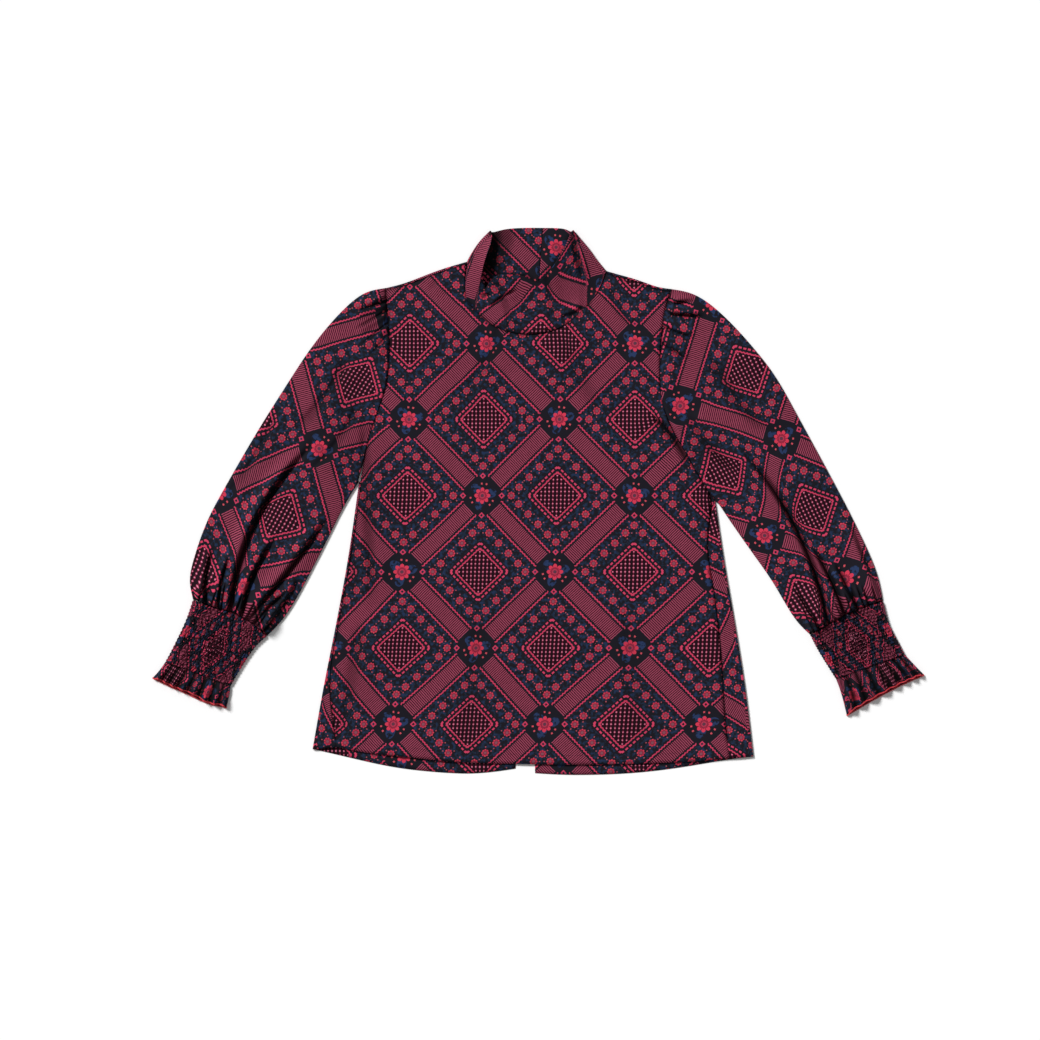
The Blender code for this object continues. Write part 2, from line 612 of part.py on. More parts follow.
def cuff(key, collection):
    """Make one cuff: a flattened tube, plain inside, with shirred puffs outside."""
    inward = INWARD[key]
    outer = trimmed(CUFF_OUTER[key], END_PULL, END_PULL)
    inner = trimmed(CUFF_INNER[key], END_PULL, END_PULL)
    join = seam(CUFF_JOIN[key], JOIN_STEPS, inward)
    end = seam((CUFF_OUTER[key][-1], CUFF_INNER[key][-1]), JOIN_STEPS, -inward)
    low = WALL
    high = 2 * CUFF_ROLL - WALL

    def layer(height):
        return patch(lift(join, height), lift(end, height),
                     lift(inset(outer, -inward, CUFF_ROLL), height),
                     lift(inset(inner, inward, CUFF_ROLL), height), JOIN_STEPS)

    columns = PUFFS_ACROSS * 2
    grids = [sheet_grid(layer(high), columns, CUFF_ROWS),
             sheet_grid(layer(low), JOIN_STEPS, CUFF_ROWS),
             roll_grid(outer, -inward, CUFF_ROLL, CUFF_ROWS, WALL),
             roll_grid(inner, inward, CUFF_ROLL, CUFF_ROWS, WALL)]

    def puff(row, column, on_top):
        inside = 0 < row < CUFF_ROWS
        return CUFF_PUFF if inside and on_top and (row + column) % 2 else 0.0

    heights = [
        [[puff(r, c, 0 < c < columns) for c in range(columns + 1)] for r in range(CUFF_ROWS + 1)],
        [[0.0] * (JOIN_STEPS + 1) for r in range(CUFF_ROWS + 1)],
    ] + [
        [[puff(r, k, k == ROLL_STEPS - 1) for k in range(ROLL_STEPS + 1)]
         for r in range(CUFF_ROWS + 1)]
    ] * 2
    return cloth("cuff_" + key, grids, collection, heights)


def ruffle(key, collection):
    """Make one ruffle: a short flattened tube whose top layer stands in waves."""
    inward = INWARD[key]
    outer = trimmed(RUFFLE_OUTER[key], END_PULL)
    inner = trimmed(RUFFLE_INNER[key], END_PULL)
    start = seam((CUFF_OUTER[key][-1], CUFF_INNER[key][-1]), JOIN_STEPS, inward)
    end = smooth(RUFFLE_END[key])

    def layer(height):
        return patch(lift(start, height), lift(end, height),
                     lift(inset(outer, -inward, CUFF_ROLL), height),
                     lift(inset(inner, inward, CUFF_ROLL), height), JOIN_STEPS)

    def wave(s, v):
        return RUFFLE_WAVE * v * (0.5 - 0.5 * math.cos(2 * math.pi * RUFFLE_WAVES * s))

    grids = [sheet_grid(layer(2 * CUFF_ROLL), 4 * RUFFLE_WAVES, RUFFLE_ROWS, wave),
             sheet_grid(layer(0.0), JOIN_STEPS, RUFFLE_ROWS),
             roll_grid(outer, -inward, CUFF_ROLL, RUFFLE_ROWS),
             roll_grid(inner, inward, CUFF_ROLL, RUFFLE_ROWS)]
    return cloth("ruffle_" + key, grids, collection, colour=EDGE_COLOUR)


def collar(collection):
    """Make the collar: one band round the neck, open at the centre back."""
    seam_rows = NECK_CORNER
    fold_rows = COLLAR_ROWS - seam_rows
    turn = NECK_CORNER / NECK_STEPS
    neck = lift(seam(NECK_FRONT, NECK_STEPS, 1), rising(2 * ROLL, NECK_RISE))

    def roll(t):
        return ROLL + (COLLAR_ROLL - ROLL) * t

    edges = {key: trimmed(COLLAR_SIDE[key], END_PULL) for key in ("left", "right")}
    fronts = []
    for key, start, stop in (("left", 0.0, turn), ("right", 1.0, 1.0 - turn)):
        fold = lift(inset(edges[key], INWARD[key], roll), lambda t: 2 * roll(t))
        fronts.append(flip(chain((flip(fold), fold_rows / COLLAR_ROWS),
                                 (part_of(neck, start, stop), 1.0))))
    top = lift(smooth(COLLAR_FRONT_TOP), lambda t: table(COLLAR_TOP_HEIGHT, t))
    steps = NECK_STEPS - 2 * NECK_CORNER
    face = patch(part_of(neck, turn, 1.0 - turn), top, *fronts, steps)
    grids = [sheet_grid(face, 2 * steps, COLLAR_ROWS, folds=COLLAR_FOLDS,
                        edge_fade=True, rounds=2)]
    corner = Vector((*CENTRE_NECK, 0.0))
    for key in ("left", "right"):
        inward = INWARD[key]
        back_neck = seam(NECK_BACK[key], BACK_NECK_STEPS, inward)
        centre = seam((CENTRE_NECK, COLLAR_BACK_TOP[key][0]), fold_rows, -inward)
        centre = meeting(centre, centre(0.0) + back_neck(0.0) - corner, centre(1.0), 1 / fold_rows)
        behind = patch(back_neck, smooth(COLLAR_BACK_TOP[key]), centre,
                       inset(edges[key], inward, roll), BACK_NECK_STEPS)
        grids.append(sheet_grid(behind, BACK_NECK_STEPS, fold_rows))
        grids.append(roll_grid(edges[key], inward, roll, fold_rows))
    return cloth("collar", grids, collection)


def main():
    """Clear the file and build the ten pieces of the blouse."""
    for old in list(bpy.data.objects):
        bpy.data.objects.remove(old, do_unlink=True)
    collection = bpy.data.collections.new("blouse")
    bpy.context.scene.collection.children.link(collection)
    front(collection)
    collar(collection)
    for key in ("left", "right"):
        back_half(key, collection)
        sleeve(key, collection)
        cuff(key, collection)
        ruffle(key, collection)


main()
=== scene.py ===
# %% [markdown]
# # A blouse laid flat
# A blouse is a set of flat cloth pieces sewn along their edges. Laid out on a table it is
# two layers of cloth, a few millimetres thick, with rounded folds down its sides. This
# notebook loads the plain solids of the blouse and lays a finer cloth shell on each one.

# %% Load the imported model
import bisect
import math

import bmesh
import bpy
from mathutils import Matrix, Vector, noise
from mathutils.bvhtree import BVHTree


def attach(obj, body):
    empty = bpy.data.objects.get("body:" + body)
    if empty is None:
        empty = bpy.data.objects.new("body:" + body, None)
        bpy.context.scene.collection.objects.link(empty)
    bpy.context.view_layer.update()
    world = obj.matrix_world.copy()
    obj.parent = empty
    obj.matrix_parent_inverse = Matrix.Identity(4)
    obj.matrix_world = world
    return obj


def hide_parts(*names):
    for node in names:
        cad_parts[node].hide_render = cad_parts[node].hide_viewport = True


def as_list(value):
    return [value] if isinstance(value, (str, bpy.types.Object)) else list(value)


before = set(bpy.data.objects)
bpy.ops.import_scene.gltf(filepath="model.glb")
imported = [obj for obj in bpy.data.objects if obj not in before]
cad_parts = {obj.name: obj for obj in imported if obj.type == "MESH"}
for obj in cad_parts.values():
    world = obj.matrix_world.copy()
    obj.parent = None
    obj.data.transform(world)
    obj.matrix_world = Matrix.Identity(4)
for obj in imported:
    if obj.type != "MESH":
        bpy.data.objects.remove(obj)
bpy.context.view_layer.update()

print("solids:", sorted(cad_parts))

# %% [markdown]
# ## Sizes
# These are the sizes of the solids, so each shell lies where its solid lies. Only the cloth
# differs: it is drawn half a millimetre thick, and its panels lap a little at the seams.

# %% Sizes in metres, and counts of faces
CLOTH = 0.0005           # wall of the drawn cloth
SEAM_GAP = -0.0004       # below zero: drawn panels lap a little, as sewn cloth does
ROLL = 0.0018            # outer radius of a folded edge
SEAM_INSET = 0.0026      # how far inside a folded edge the seam of the top layer runs
FRONT_RISE = 0.0010      # the front's middle above its edges
NECK_RISE = 0.0032       # the neck seam's middle above a folded edge
ARMHOLE_RISE = 0.0014    # the armhole seam's middle above a folded edge
SLEEVE_RISE = 0.0022     # the sleeve's middle above its edges
SLEEVE_END = 0.0026      # the middle of the sleeve's end above its edges
CUFF_ROLL = 0.0027       # outer radius of the cuff's side folds
COLLAR_ROLL = 0.0045     # outer radius of the collar's side folds at its top edge
MERGE = 0.00002          # points of two grids this close are one point

SIDE_ROWS = 10           # side seam, hem to underarm
SLIT_ROWS = 6            # open slit below the centre back seam
ARM_STEPS = 8            # armhole seam, underarm to shoulder tip
ARM_CORNER = 4           # armhole step at which the sleeve's grid turns its corner
SHOULDER_COLUMNS = 5     # shoulder seam
NECK_STEPS = 12          # neck seam along the front
NECK_CORNER = 2          # neck step at which the collar's grid turns its corner
BACK_NECK_STEPS = 4      # neck seam along one half of the back
SLEEVE_ROWS = 18         # sleeve, armhole to cuff
COLLAR_ROWS = 8          # collar, neck seam to top edge
CUFF_ROWS = 18           # cuff, join to ruffle
CUFF_COLUMNS = 25        # across the cuff's top layer, enough for its puffs
RUFFLE_ROWS = 3          # ruffle, cuff to free edge
RUFFLE_COLUMNS = 28      # across the ruffle's top layer, enough for its flutes
ROLL_STEPS = 4           # faces round a folded edge
JOIN_STEPS = 4           # cuff join, outer edge to inner edge
CURVE_STEPS = 10         # straight steps between two rows of an outline
BODY_ROWS = SIDE_ROWS + ARM_STEPS
ARM_BLOCK = 0.068        # rough length of the armhole beside a shoulder block
NECK_BLOCK = 0.048       # rough length of the neck beside a shoulder block
ARM_HEAD = 0.136         # rough length of the armhole round the sleeve head
SIDES = ("left", "right")
INWARD = {"left": -1, "right": 1}    # which side of a line up the body is inward

print("two folded layers stand", 2 * ROLL, "m high")

# %% [markdown]
# ## Outlines
# Each outline is a short table of points in plan, measured in metres from the middle of the
# blouse. +Y runs from the hem to the neck. The solids were made from the same points, but
# for the collar's front top edge and a millimetre at the right underarm.

# %% Outlines
# Outlines in plan, measured flat. Each row is a point: x, y
BODY_SIDE = {
    "left": ((-0.2938, -0.3218), (-0.2789, -0.2373), (-0.2646, -0.1664), (-0.2471, -0.0709),
             (-0.2334, 0.0254)),
    "right": ((0.2795, -0.3314), (0.2690, -0.2434), (0.2551, -0.1563), (0.2412, -0.0761),
              (0.2295, 0.0038)),
}
# Side seam on the top layer, hem to underarm: the back wraps round on to the front
SIDE_SEAM = {
    "left": ((-0.2620, -0.3190), (-0.2698, -0.2680), (-0.2722, -0.2217), (-0.2618, -0.1664),
             (-0.2443, -0.0709), (-0.2308, 0.0240)),
    "right": ((0.2477, -0.3338), (0.2450, -0.3020), (0.2420, -0.2720), (0.2386, -0.2060),
              (0.2315, -0.1372), (0.2243, -0.0917), (0.2190, -0.0500), (0.2284, 0.0034)),
}
# Shoulder, neck point to shoulder tip
SHOULDER = {
    "left": ((-0.0932, 0.3117), (-0.1235, 0.3030), (-0.1476, 0.2941), (-0.1645, 0.2870),
             (-0.1814, 0.2812), (-0.1983, 0.2776)),
    "right": ((0.0885, 0.2997), (0.1099, 0.2934), (0.1307, 0.2880), (0.1528, 0.2789),
              (0.1723, 0.2763)),
}
# Armhole seam, underarm to shoulder tip
ARMHOLE = {
    "left": ((-0.2334, 0.0254), (-0.2217, 0.0787), (-0.2139, 0.1047), (-0.2009, 0.1385),
             (-0.1957, 0.1645), (-0.1931, 0.2074), (-0.1957, 0.2360), (-0.1983, 0.2776)),
    "right": ((0.2295, 0.0038), (0.2100, 0.0306), (0.1866, 0.0696), (0.1690, 0.0995),
              (0.1580, 0.1385), (0.1567, 0.1619), (0.1593, 0.2035), (0.1606, 0.2360),
              (0.1723, 0.2763)),
}
FRONT_HEM = ((-0.2620, -0.3190), (-0.2155, -0.3279), (-0.1608, -0.3328), (-0.1190, -0.3379),
             (-0.0290, -0.3410), (0.0800, -0.3418), (0.1775, -0.3390), (0.2477, -0.3338))
# Back hem, centre back to side
BACK_HEM = {
    "left": ((-0.0302, -0.3471), (-0.0683, -0.3527), (-0.0956, -0.3539), (-0.1346, -0.3515),
             (-0.1736, -0.3476), (-0.2126, -0.3406), (-0.2516, -0.3312), (-0.2938, -0.3218)),
    "right": ((-0.0042, -0.3530), (0.0215, -0.3550), (0.0800, -0.3550), (0.1385, -0.3515),
              (0.1970, -0.3437), (0.2360, -0.3367), (0.2795, -0.3314)),
}
# Centre back: neck and the top of the slit
CENTRE_NECK = (0.0004, 0.2813)
CENTRE_SLIT = (-0.0110, -0.1300)
NECK_FRONT = ((-0.0932, 0.3117), (-0.0955, 0.2850), (-0.0920, 0.2570), (-0.0725, 0.2399),
              (-0.0586, 0.2269), (-0.0377, 0.2200), (-0.0111, 0.2165), (0.0202, 0.2223),
              (0.0389, 0.2315), (0.0618, 0.2536), (0.0806, 0.2768), (0.0885, 0.2997))
NECK_BACK = {
    "left": (CENTRE_NECK, (-0.0300, 0.2845), (-0.0600, 0.2935), (-0.0932, 0.3117)),
    "right": (CENTRE_NECK, (0.0280, 0.2835), (0.0560, 0.2895), (0.0885, 0.2997)),
}
# Collar: folded side edges from the neck point up, and the two stretches of its top edge
COLLAR_SIDE = {
    "left": ((-0.0932, 0.3117), (-0.0878, 0.3221), (-0.0761, 0.3393), (-0.0631, 0.3523)),
    "right": ((0.0885, 0.2997), (0.0754, 0.3153), (0.0683, 0.3262), (0.0514, 0.3461),
              (0.0456, 0.3530)),
}
# The drawn band folds in sharply on its left, so its top edge runs down into a hollow there
COLLAR_FRONT_TOP = ((-0.0631, 0.3523), (-0.0618, 0.3400), (-0.0708, 0.3114), (-0.0787, 0.2750),
                    (-0.0800, 0.2600), (-0.0738, 0.2660), (-0.0683, 0.2776), (-0.0592, 0.2933),
                    (-0.0521, 0.2959), (-0.0384, 0.2945), (-0.0274, 0.2933), (-0.0183, 0.2940),
                    (-0.0099, 0.2870), (0.0000, 0.2807), (0.0085, 0.2906), (0.0267, 0.3166),
                    (0.0358, 0.3309), (0.0456, 0.3530))
COLLAR_BACK_TOP = {
    "left": ((0.0058, 0.3556), (-0.0250, 0.3556), (-0.0631, 0.3523)),
    "right": ((0.0058, 0.3556), (0.0260, 0.3553), (0.0456, 0.3530)),
}
# Share of the collar's front top edge, and its height above the table
COLLAR_TOP_HEIGHT = ((0.00, 0.0090), (0.08, 0.0170), (0.20, 0.0190), (0.30, 0.0120),
                     (0.35, 0.0075), (0.46, 0.0150), (0.58, 0.0130), (0.71, 0.0115),
                     (0.85, 0.0165), (0.95, 0.0150), (1.00, 0.0090))

# Sleeves: outer and inner folded edges from the body to the cuff, then the cuff and ruffle
SLEEVE_OUTER = {
    "left": ((-0.1983, 0.2776), (-0.2090, 0.2789), (-0.2243, 0.2743), (-0.2548, 0.2490),
             (-0.2932, 0.2035), (-0.3309, 0.1463), (-0.3660, 0.0904), (-0.4037, 0.0254),
             (-0.4323, -0.0280), (-0.4518, -0.0865), (-0.4563, -0.1138), (-0.4490, -0.1277)),
    "right": ((0.1723, 0.2763), (0.1879, 0.2766), (0.2016, 0.2711), (0.2274, 0.2542),
              (0.2529, 0.2295), (0.2763, 0.2035), (0.3069, 0.1647), (0.3393, 0.1066),
              (0.3764, 0.0386), (0.4102, -0.0260), (0.4395, -0.0904), (0.4478, -0.1295)),
}
SLEEVE_INNER = {
    "left": ((-0.2334, 0.0254), (-0.2509, -0.0027), (-0.2815, -0.0638), (-0.3158, -0.1287),
             (-0.3348, -0.1573), (-0.3529, -0.1750)),
    "right": ((0.2295, 0.0038), (0.2498, -0.0270), (0.2768, -0.0655), (0.3036, -0.1034),
              (0.3231, -0.1372), (0.3400, -0.1626), (0.3526, -0.1728)),
}
CUFF_JOIN = {
    "left": ((-0.4490, -0.1277), (-0.4225, -0.1379), (-0.3987, -0.1431), (-0.3763, -0.1551),
             (-0.3529, -0.1750)),
    "right": ((0.4478, -0.1295), (0.4212, -0.1383), (0.3899, -0.1511), (0.3748, -0.1615),
              (0.3526, -0.1728)),
}
CUFF_OUTER = {
    "left": ((-0.4490, -0.1277), (-0.4597, -0.1578), (-0.4770, -0.1936), (-0.4849, -0.2081)),
    "right": ((0.4478, -0.1295), (0.4557, -0.1586), (0.4670, -0.1814), (0.4758, -0.1983)),
}
CUFF_INNER = {
    "left": ((-0.3529, -0.1750), (-0.3682, -0.1895), (-0.3855, -0.2148), (-0.4000, -0.2399)),
    "right": ((0.3526, -0.1728), (0.3608, -0.1892), (0.3712, -0.2067), (0.3864, -0.2308)),
}
RUFFLE_OUTER = {
    "left": ((-0.4849, -0.2081), (-0.4920, -0.2185), (-0.5012, -0.2287)),
    "right": ((0.4758, -0.1983), (0.4882, -0.2119), (0.5008, -0.2248)),
}
RUFFLE_INNER = {
    "left": ((-0.4000, -0.2399), (-0.4012, -0.2506), (-0.4053, -0.2679)),
    "right": ((0.3864, -0.2308), (0.3927, -0.2474), (0.4003, -0.2776)),
}
RUFFLE_END = {
    "left": ((-0.5012, -0.2287), (-0.4755, -0.2425), (-0.4492, -0.2526), (-0.4306, -0.2633),
             (-0.4053, -0.2679)),
    "right": ((0.5008, -0.2248), (0.4674, -0.2404), (0.4349, -0.2578), (0.4003, -0.2776)),
}

print("outline rows:", len(FRONT_HEM) + len(NECK_FRONT) + len(COLLAR_FRONT_TOP))

# %% [markdown]
# ## Lines and surfaces
# A smooth line runs through the rows of each outline. Two panels that are sewn together
# share one seam line. A panel is then the surface between four lines, which drawing
# programs call a Coons patch, so its edges are exactly the seams.

# %% Lines
def table(rows, t):
    """Read a two-column table at t with straight lines between its rows."""
    for (t0, a), (t1, b) in zip(rows, rows[1:]):
        if t <= t1:
            return a + (b - a) * (t - t0) / (t1 - t0)
    return rows[-1][1]


def catmull_rom(p0, p1, p2, p3, t):
    """Return the point at t between p1 and p2 of the smooth curve through four points."""
    return 0.5 * (2 * p1 + (p2 - p0) * t + (2 * p0 - 5 * p1 + 4 * p2 - p3) * t ** 2
                  + (3 * p1 - p0 - 3 * p2 + p3) * t ** 3)


def along(points):
    """Return at(t), which reads a line through points at a share t of its length."""
    lengths = [0.0]
    for a, b in zip(points, points[1:]):
        lengths.append(lengths[-1] + (b - a).length)

    def at(t):
        target = min(max(t, 0.0), 1.0) * lengths[-1]
        i = min(bisect.bisect_right(lengths, target) - 1, len(points) - 2)
        return points[i].lerp(points[i + 1], (target - lengths[i]) / (lengths[i + 1] - lengths[i]))

    return at


def smooth(rows):
    """Return at(t) for a smooth curve through the rows of an outline."""
    points = [Vector((x, y, 0.0)) for x, y in rows]
    ends = [2 * points[0] - points[1]] + points + [2 * points[-1] - points[-2]]
    fine = [catmull_rom(*ends[i:i + 4], k / CURVE_STEPS)
            for i in range(len(points) - 1) for k in range(CURVE_STEPS)]
    return along(fine + [points[-1]])


def flip(curve):
    """Return the curve read from its other end."""
    return lambda t: curve(1.0 - t)


def part_of(curve, start, end):
    """Return the stretch of a curve between two shares of it."""
    return lambda t: curve(start + (end - start) * t)


def normal(curve, t, side):
    """Return the level direction across a curve: side 1 is its left, -1 its right."""
    run = (curve(min(t + 0.01, 1.0)) - curve(max(t - 0.01, 0.0))).normalized()
    return Vector((-run.y, run.x, 0.0)) * side


def inset(curve, side, distance):
    """Return the curve moved sideways by distance, a number or a function of t."""
    def at(t):
        away = distance(t) if callable(distance) else distance
        return curve(t) + normal(curve, t, side) * away

    return at


def seam(rows, steps, side):
    """Return a seam line of straight steps, moved half the seam gap to one side."""
    curve = smooth(rows)
    corners = [inset(curve, side, SEAM_GAP / 2)(i / steps) for i in range(steps + 1)]

    def at(t):
        place = min(max(t, 0.0), 1.0) * steps
        i = min(int(place + 1e-9), steps - 1)
        return corners[i].lerp(corners[i + 1], place - i)

    return at


def lift(curve, height):
    """Return the curve at a height above the table, a number or a function of t."""
    def at(t):
        point = curve(t).copy()
        point.z = height(t) if callable(height) else height
        return point

    return at


def stopped(curve, share):
    """Return the curve held at the point that it reaches at a share of it."""
    return lambda t: curve(min(t, share))


def chain(*pieces):
    """Join curves end to end: each piece is a curve and the share at which it stops."""
    def at(t):
        start = 0.0
        for curve, end in pieces:
            if t <= end + 1e-9:
                return curve((t - start) / (end - start))
            start = end
        return pieces[-1][0](1.0)

    return at


def places(count):
    """Return count equal steps of a curve, from 0 to 1."""
    return [i / count for i in range(count + 1)]


# %% Surfaces
def meeting(curve, start, end, reach):
    """Return the curve with its ends moved to two points, over a short reach at each end."""
    from_start = start - curve(0.0)
    from_end = end - curve(1.0)

    def at(t):
        near_start = from_start * max(0.0, 1 - t / reach)
        return curve(t) + near_start + from_end * max(0.0, 1 - (1 - t) / reach)

    return at


def patch(first, last, left, right, steps):
    """Return at(s, v), the surface between four edges: left and right hold at the corners."""
    first = meeting(first, left(0.0), right(0.0), 1 / steps)
    last = meeting(last, left(1.0), right(1.0), 1 / steps)

    def at(s, v):
        ends = first(0.0).lerp(first(1.0), s).lerp(last(0.0).lerp(last(1.0), s), v)
        return first(s).lerp(last(s), v) + left(v).lerp(right(v), s) - ends

    return at


def arch(t):
    """Return 0 at both ends of a span and 1 over most of its middle."""
    return math.sin(math.pi * min(max(t, 0.0), 1.0)) ** 0.5


def rising(low, rise):
    """Return a height that is low at both ends of a seam and low + rise at its middle."""
    return lambda t: low + rise * math.sin(math.pi * t)


def sheet_grid(surface, columns, rows, rise=None, rounds=30):
    """Return rows of evened-out points of a surface, raised by a rule in s and v."""
    grid = [[surface(c / columns, r / rows).copy() for c in range(columns + 1)]
            for r in range(rows + 1)]
    for _ in range(rounds):
        before = [list(line) for line in grid]
        for r in range(1, rows):
            for c in range(1, columns):
                grid[r][c] = (before[r - 1][c] + before[r + 1][c]
                              + before[r][c - 1] + before[r][c + 1]) / 4
    if rise:
        for r, line in enumerate(grid):
            for c, point in enumerate(line):
                point.z += rise(c / columns, r / rows)
    return grid


def roll_grid(edge, side, roll, rows, stretch=1.0):
    """Return rows of points round a folded edge, from the underside to the top."""
    grid = []
    for t in places(rows):
        radius = roll(t) if callable(roll) else roll
        inward = normal(edge, t, side)
        line = []
        for k in range(ROLL_STEPS + 1):
            angle = math.pi * k / ROLL_STEPS
            point = edge(t) + inward * radius * (1 - math.sin(angle) * stretch)
            point.z = radius - radius * math.cos(angle)
            line.append(point)
        grid.append(line)
    return grid


def between(near, far, count, rows):
    """Return a flat strip between two curves, count faces wide."""
    return [[near(t).lerp(far(t), c / count) for c in range(count + 1)] for t in places(rows)]


# %% [markdown]
# ## From a coarse cage to cloth
# Each grid of points is a cage. A Subdivision Surface turns it into smooth cloth, and folds
# are then pushed into the smooth mesh point by point. Every corner of a face also gets its
# place on the flat cloth, in metres, as a UV map, so that the print has its real size.
# Where a fold tucks cloth away, the places jump by the cloth that the tuck hides.
#
# Real tucks are deeper than these, and little light reaches into them. So each point also
# keeps a value, "dark", from 0 to 1, of painted shade, by which the cloth's material darkens
# there: in tucks, between puffs and flutes, along seams and in the collar's hollow.

# %% One piece of cloth
def cage(name, parts):
    """Make a mesh from parts: a grid, its place on the cloth, and its share of the folds.

    Each part is (rows of points, place(point, s, v), ease(s, v), first s, last s).
    """
    shape = bmesh.new()
    layers = {key: shape.verts.layers.float.new(key) for key in ("ease", "s", "v")}
    flat = shape.loops.layers.uv.new("cloth")
    for grid, place, ease, first, last in parts:
        rows = []
        spots = {}
        for r, line in enumerate(grid):
            v = r / (len(grid) - 1)
            made = []
            for c, point in enumerate(line):
                s = c / (len(line) - 1)
                vertex = shape.verts.new(point)
                vertex[layers["ease"]] = ease(s, v)
                vertex[layers["s"]] = first + (last - first) * s
                vertex[layers["v"]] = v
                spots[vertex] = place(point, s, v)
                made.append(vertex)
            rows.append(made)
        for near, far in zip(rows, rows[1:]):
            for i in range(len(near) - 1):
                face = shape.faces.new((near[i], near[i + 1], far[i + 1], far[i]))
                face.smooth = True
                for loop in face.loops:
                    loop[flat].uv = spots[loop.vert]
    bmesh.ops.remove_doubles(shape, verts=shape.verts, dist=MERGE)
    bmesh.ops.recalc_face_normals(shape, faces=shape.faces)
    highest = max(shape.faces, key=lambda face: face.calc_center_median().z)
    if highest.normal.z < 0:
        bmesh.ops.reverse_faces(shape, faces=shape.faces)
    mesh = bpy.data.meshes.new(name)
    shape.to_mesh(mesh)
    shape.free()
    return mesh


def applied(piece):
    """Turn a piece with modifiers into a plain mesh."""
    bpy.context.view_layer.update()
    graph = bpy.context.evaluated_depsgraph_get()
    piece.data = bpy.data.meshes.new_from_object(piece.evaluated_get(graph))
    piece.modifiers.clear()
    return piece


SEAM_DIP = 0.0012        # how far the cloth dips into a seam
SEAM_PAINTED_SHADE = 0.8          # painted shade along the seam
HEM_TOP = -0.31          # the free hems lie below this line, and don't dip


def dip_seams(mesh):
    """Lower the sewn edges of a panel's top layer a little, with painted shade, so a seam shows.
    """
    shape = bmesh.new()
    shape.from_mesh(mesh)
    edge = {v for v in shape.verts if v.is_boundary and v.co.z > 2 * CLOTH and v.co.y > HEM_TOP}
    next_row = {e.other_vert(v) for v in edge for e in v.link_edges} - edge
    dark = shape.verts.layers.float["dark"]
    for vertices, share in ((edge, 1.0), (next_row, 0.3)):
        for vertex in vertices:
            vertex.co.z -= SEAM_DIP * share
            vertex[dark] = max(vertex[dark], SEAM_PAINTED_SHADE * share)
    shape.to_mesh(mesh)
    shape.free()


FREE_EDGES = {}          # piece name: its free edges, which carry thread later on


def free_edges(mesh):
    """Return the free edges of a mesh: two points, and the v of the first one."""
    shape = bmesh.new()
    shape.from_mesh(mesh)
    layer = shape.verts.layers.float["v"]
    edges = [(*[v.co.copy() for v in e.verts], e.verts[0][layer])
             for e in shape.edges if e.is_boundary]
    shape.free()
    return edges


def cloth(name, parts, form, levels=3, dips=True):
    """Make a piece: subdivide its cage, then move each point by form and give it a wall.

    form(point, s, v, ease) returns how far a point moves, how far its place on the flat
    cloth moves, and its painted shade, from 0 to 1, where cloth doubles up or is sewn down.
    """
    piece = bpy.data.objects.new(name, cage(name, parts))
    bpy.context.scene.collection.objects.link(piece)
    finer = piece.modifiers.new("Finer", "SUBSURF")
    finer.levels = levels
    finer.render_levels = levels
    finer.boundary_smooth = "PRESERVE_CORNERS"
    applied(piece)
    mesh = piece.data
    values = {key: mesh.attributes[key].data for key in ("ease", "s", "v")}
    # painted shade of each point, by which the material darkens the cloth
    dark = mesh.attributes.new("dark", "FLOAT", "POINT").data
    shifts = []
    for i, vertex in enumerate(mesh.vertices):
        move, shift, shade = form(vertex.co.copy(), values["s"][i].value, values["v"][i].value,
                                  values["ease"][i].value)
        vertex.co += move
        vertex.co.z = max(vertex.co.z, 0.0)
        dark[i].value = min(max(shade, 0.0), 1.0)
        shifts.append(shift)
    spots = mesh.uv_layers["cloth"].data
    for loop in mesh.loops:
        spots[loop.index].uv += shifts[loop.vertex_index]
    if dips:
        dip_seams(mesh)
    FREE_EDGES[name] = free_edges(mesh)
    wall = piece.modifiers.new("Wall", "SOLIDIFY")
    wall.thickness = CLOTH
    wall.offset = -1.0
    applied(piece)
    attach(piece, "root")
    print(name, len(piece.data.polygons), "faces")
    return piece


# %% Folds
def smoothstep(low, high, t):
    """Return 0 below low, 1 above high, and a smooth rise between them."""
    t = min(max((t - low) / (high - low), 0.0), 1.0)
    return t * t * (3 - 2 * t)


def falling(low, high, t):
    """Return 1 below low, 0 above high, and a smooth fall between them."""
    return 1 - smoothstep(low, high, t)


def profile(q):
    """Return the height of a fold across it: gentle on its left, steep on its right.

    q is measured in half widths. At 0.8 the cloth dips into the tuck.
    """
    ridge = math.exp((-0.9 if q < 0 else -5.0) * q * q)
    return ridge - 0.7 * math.exp(-14.0 * (q - 0.8) ** 2)


def beside(point, row):
    """Return how far along a fold a point lies, and how far across it in half widths."""
    x0, y0, x1, y1, bow, half_width = row[:6]
    run = Vector((x1 - x0, y1 - y0))
    offset = point.xy - Vector((x0, y0))
    t = offset.dot(run) / run.length_squared
    on_line = min(max(t, 0.0), 1.0)
    across = (run.x * offset.y - run.y * offset.x) / run.length
    return t, (4 * bow * on_line * (1 - on_line) - across) / half_width, run


FULL_TUCK = 0.0046       # a fold this high has a full painted shade in the tuck beside it
FOLD_REACH = 6.0         # a fold moves the print this far to each side, in half widths


def fold(point, folds):
    """Return how much folds raise a point, the cloth they hide, and their tucks' painted shade."""
    height = 0.0
    shade = 0.0
    hidden = Vector((0.0, 0.0))
    for row in folds:
        t, q, run = beside(point, row)
        if not -0.1 < t < 1.1 or abs(q) > FOLD_REACH:
            continue
        rise, tuck = row[6:]
        fade = smoothstep(-0.1, 0.1, t) * falling(0.75, 1.1, t)
        height += rise * fade * profile(q)
        # painted shade in the tuck beside each fold
        shade = max(shade, fade * min(rise / FULL_TUCK, 1.0) * math.exp(-4.0 * (q - 0.6) ** 2))
        side = Vector((-run.y, run.x)).normalized()
        near = falling(1.0, FOLD_REACH, abs(q))
        hidden += side * tuck * fade * near * (0.5 - smoothstep(0.2, 0.9, q))
    return height, hidden, shade


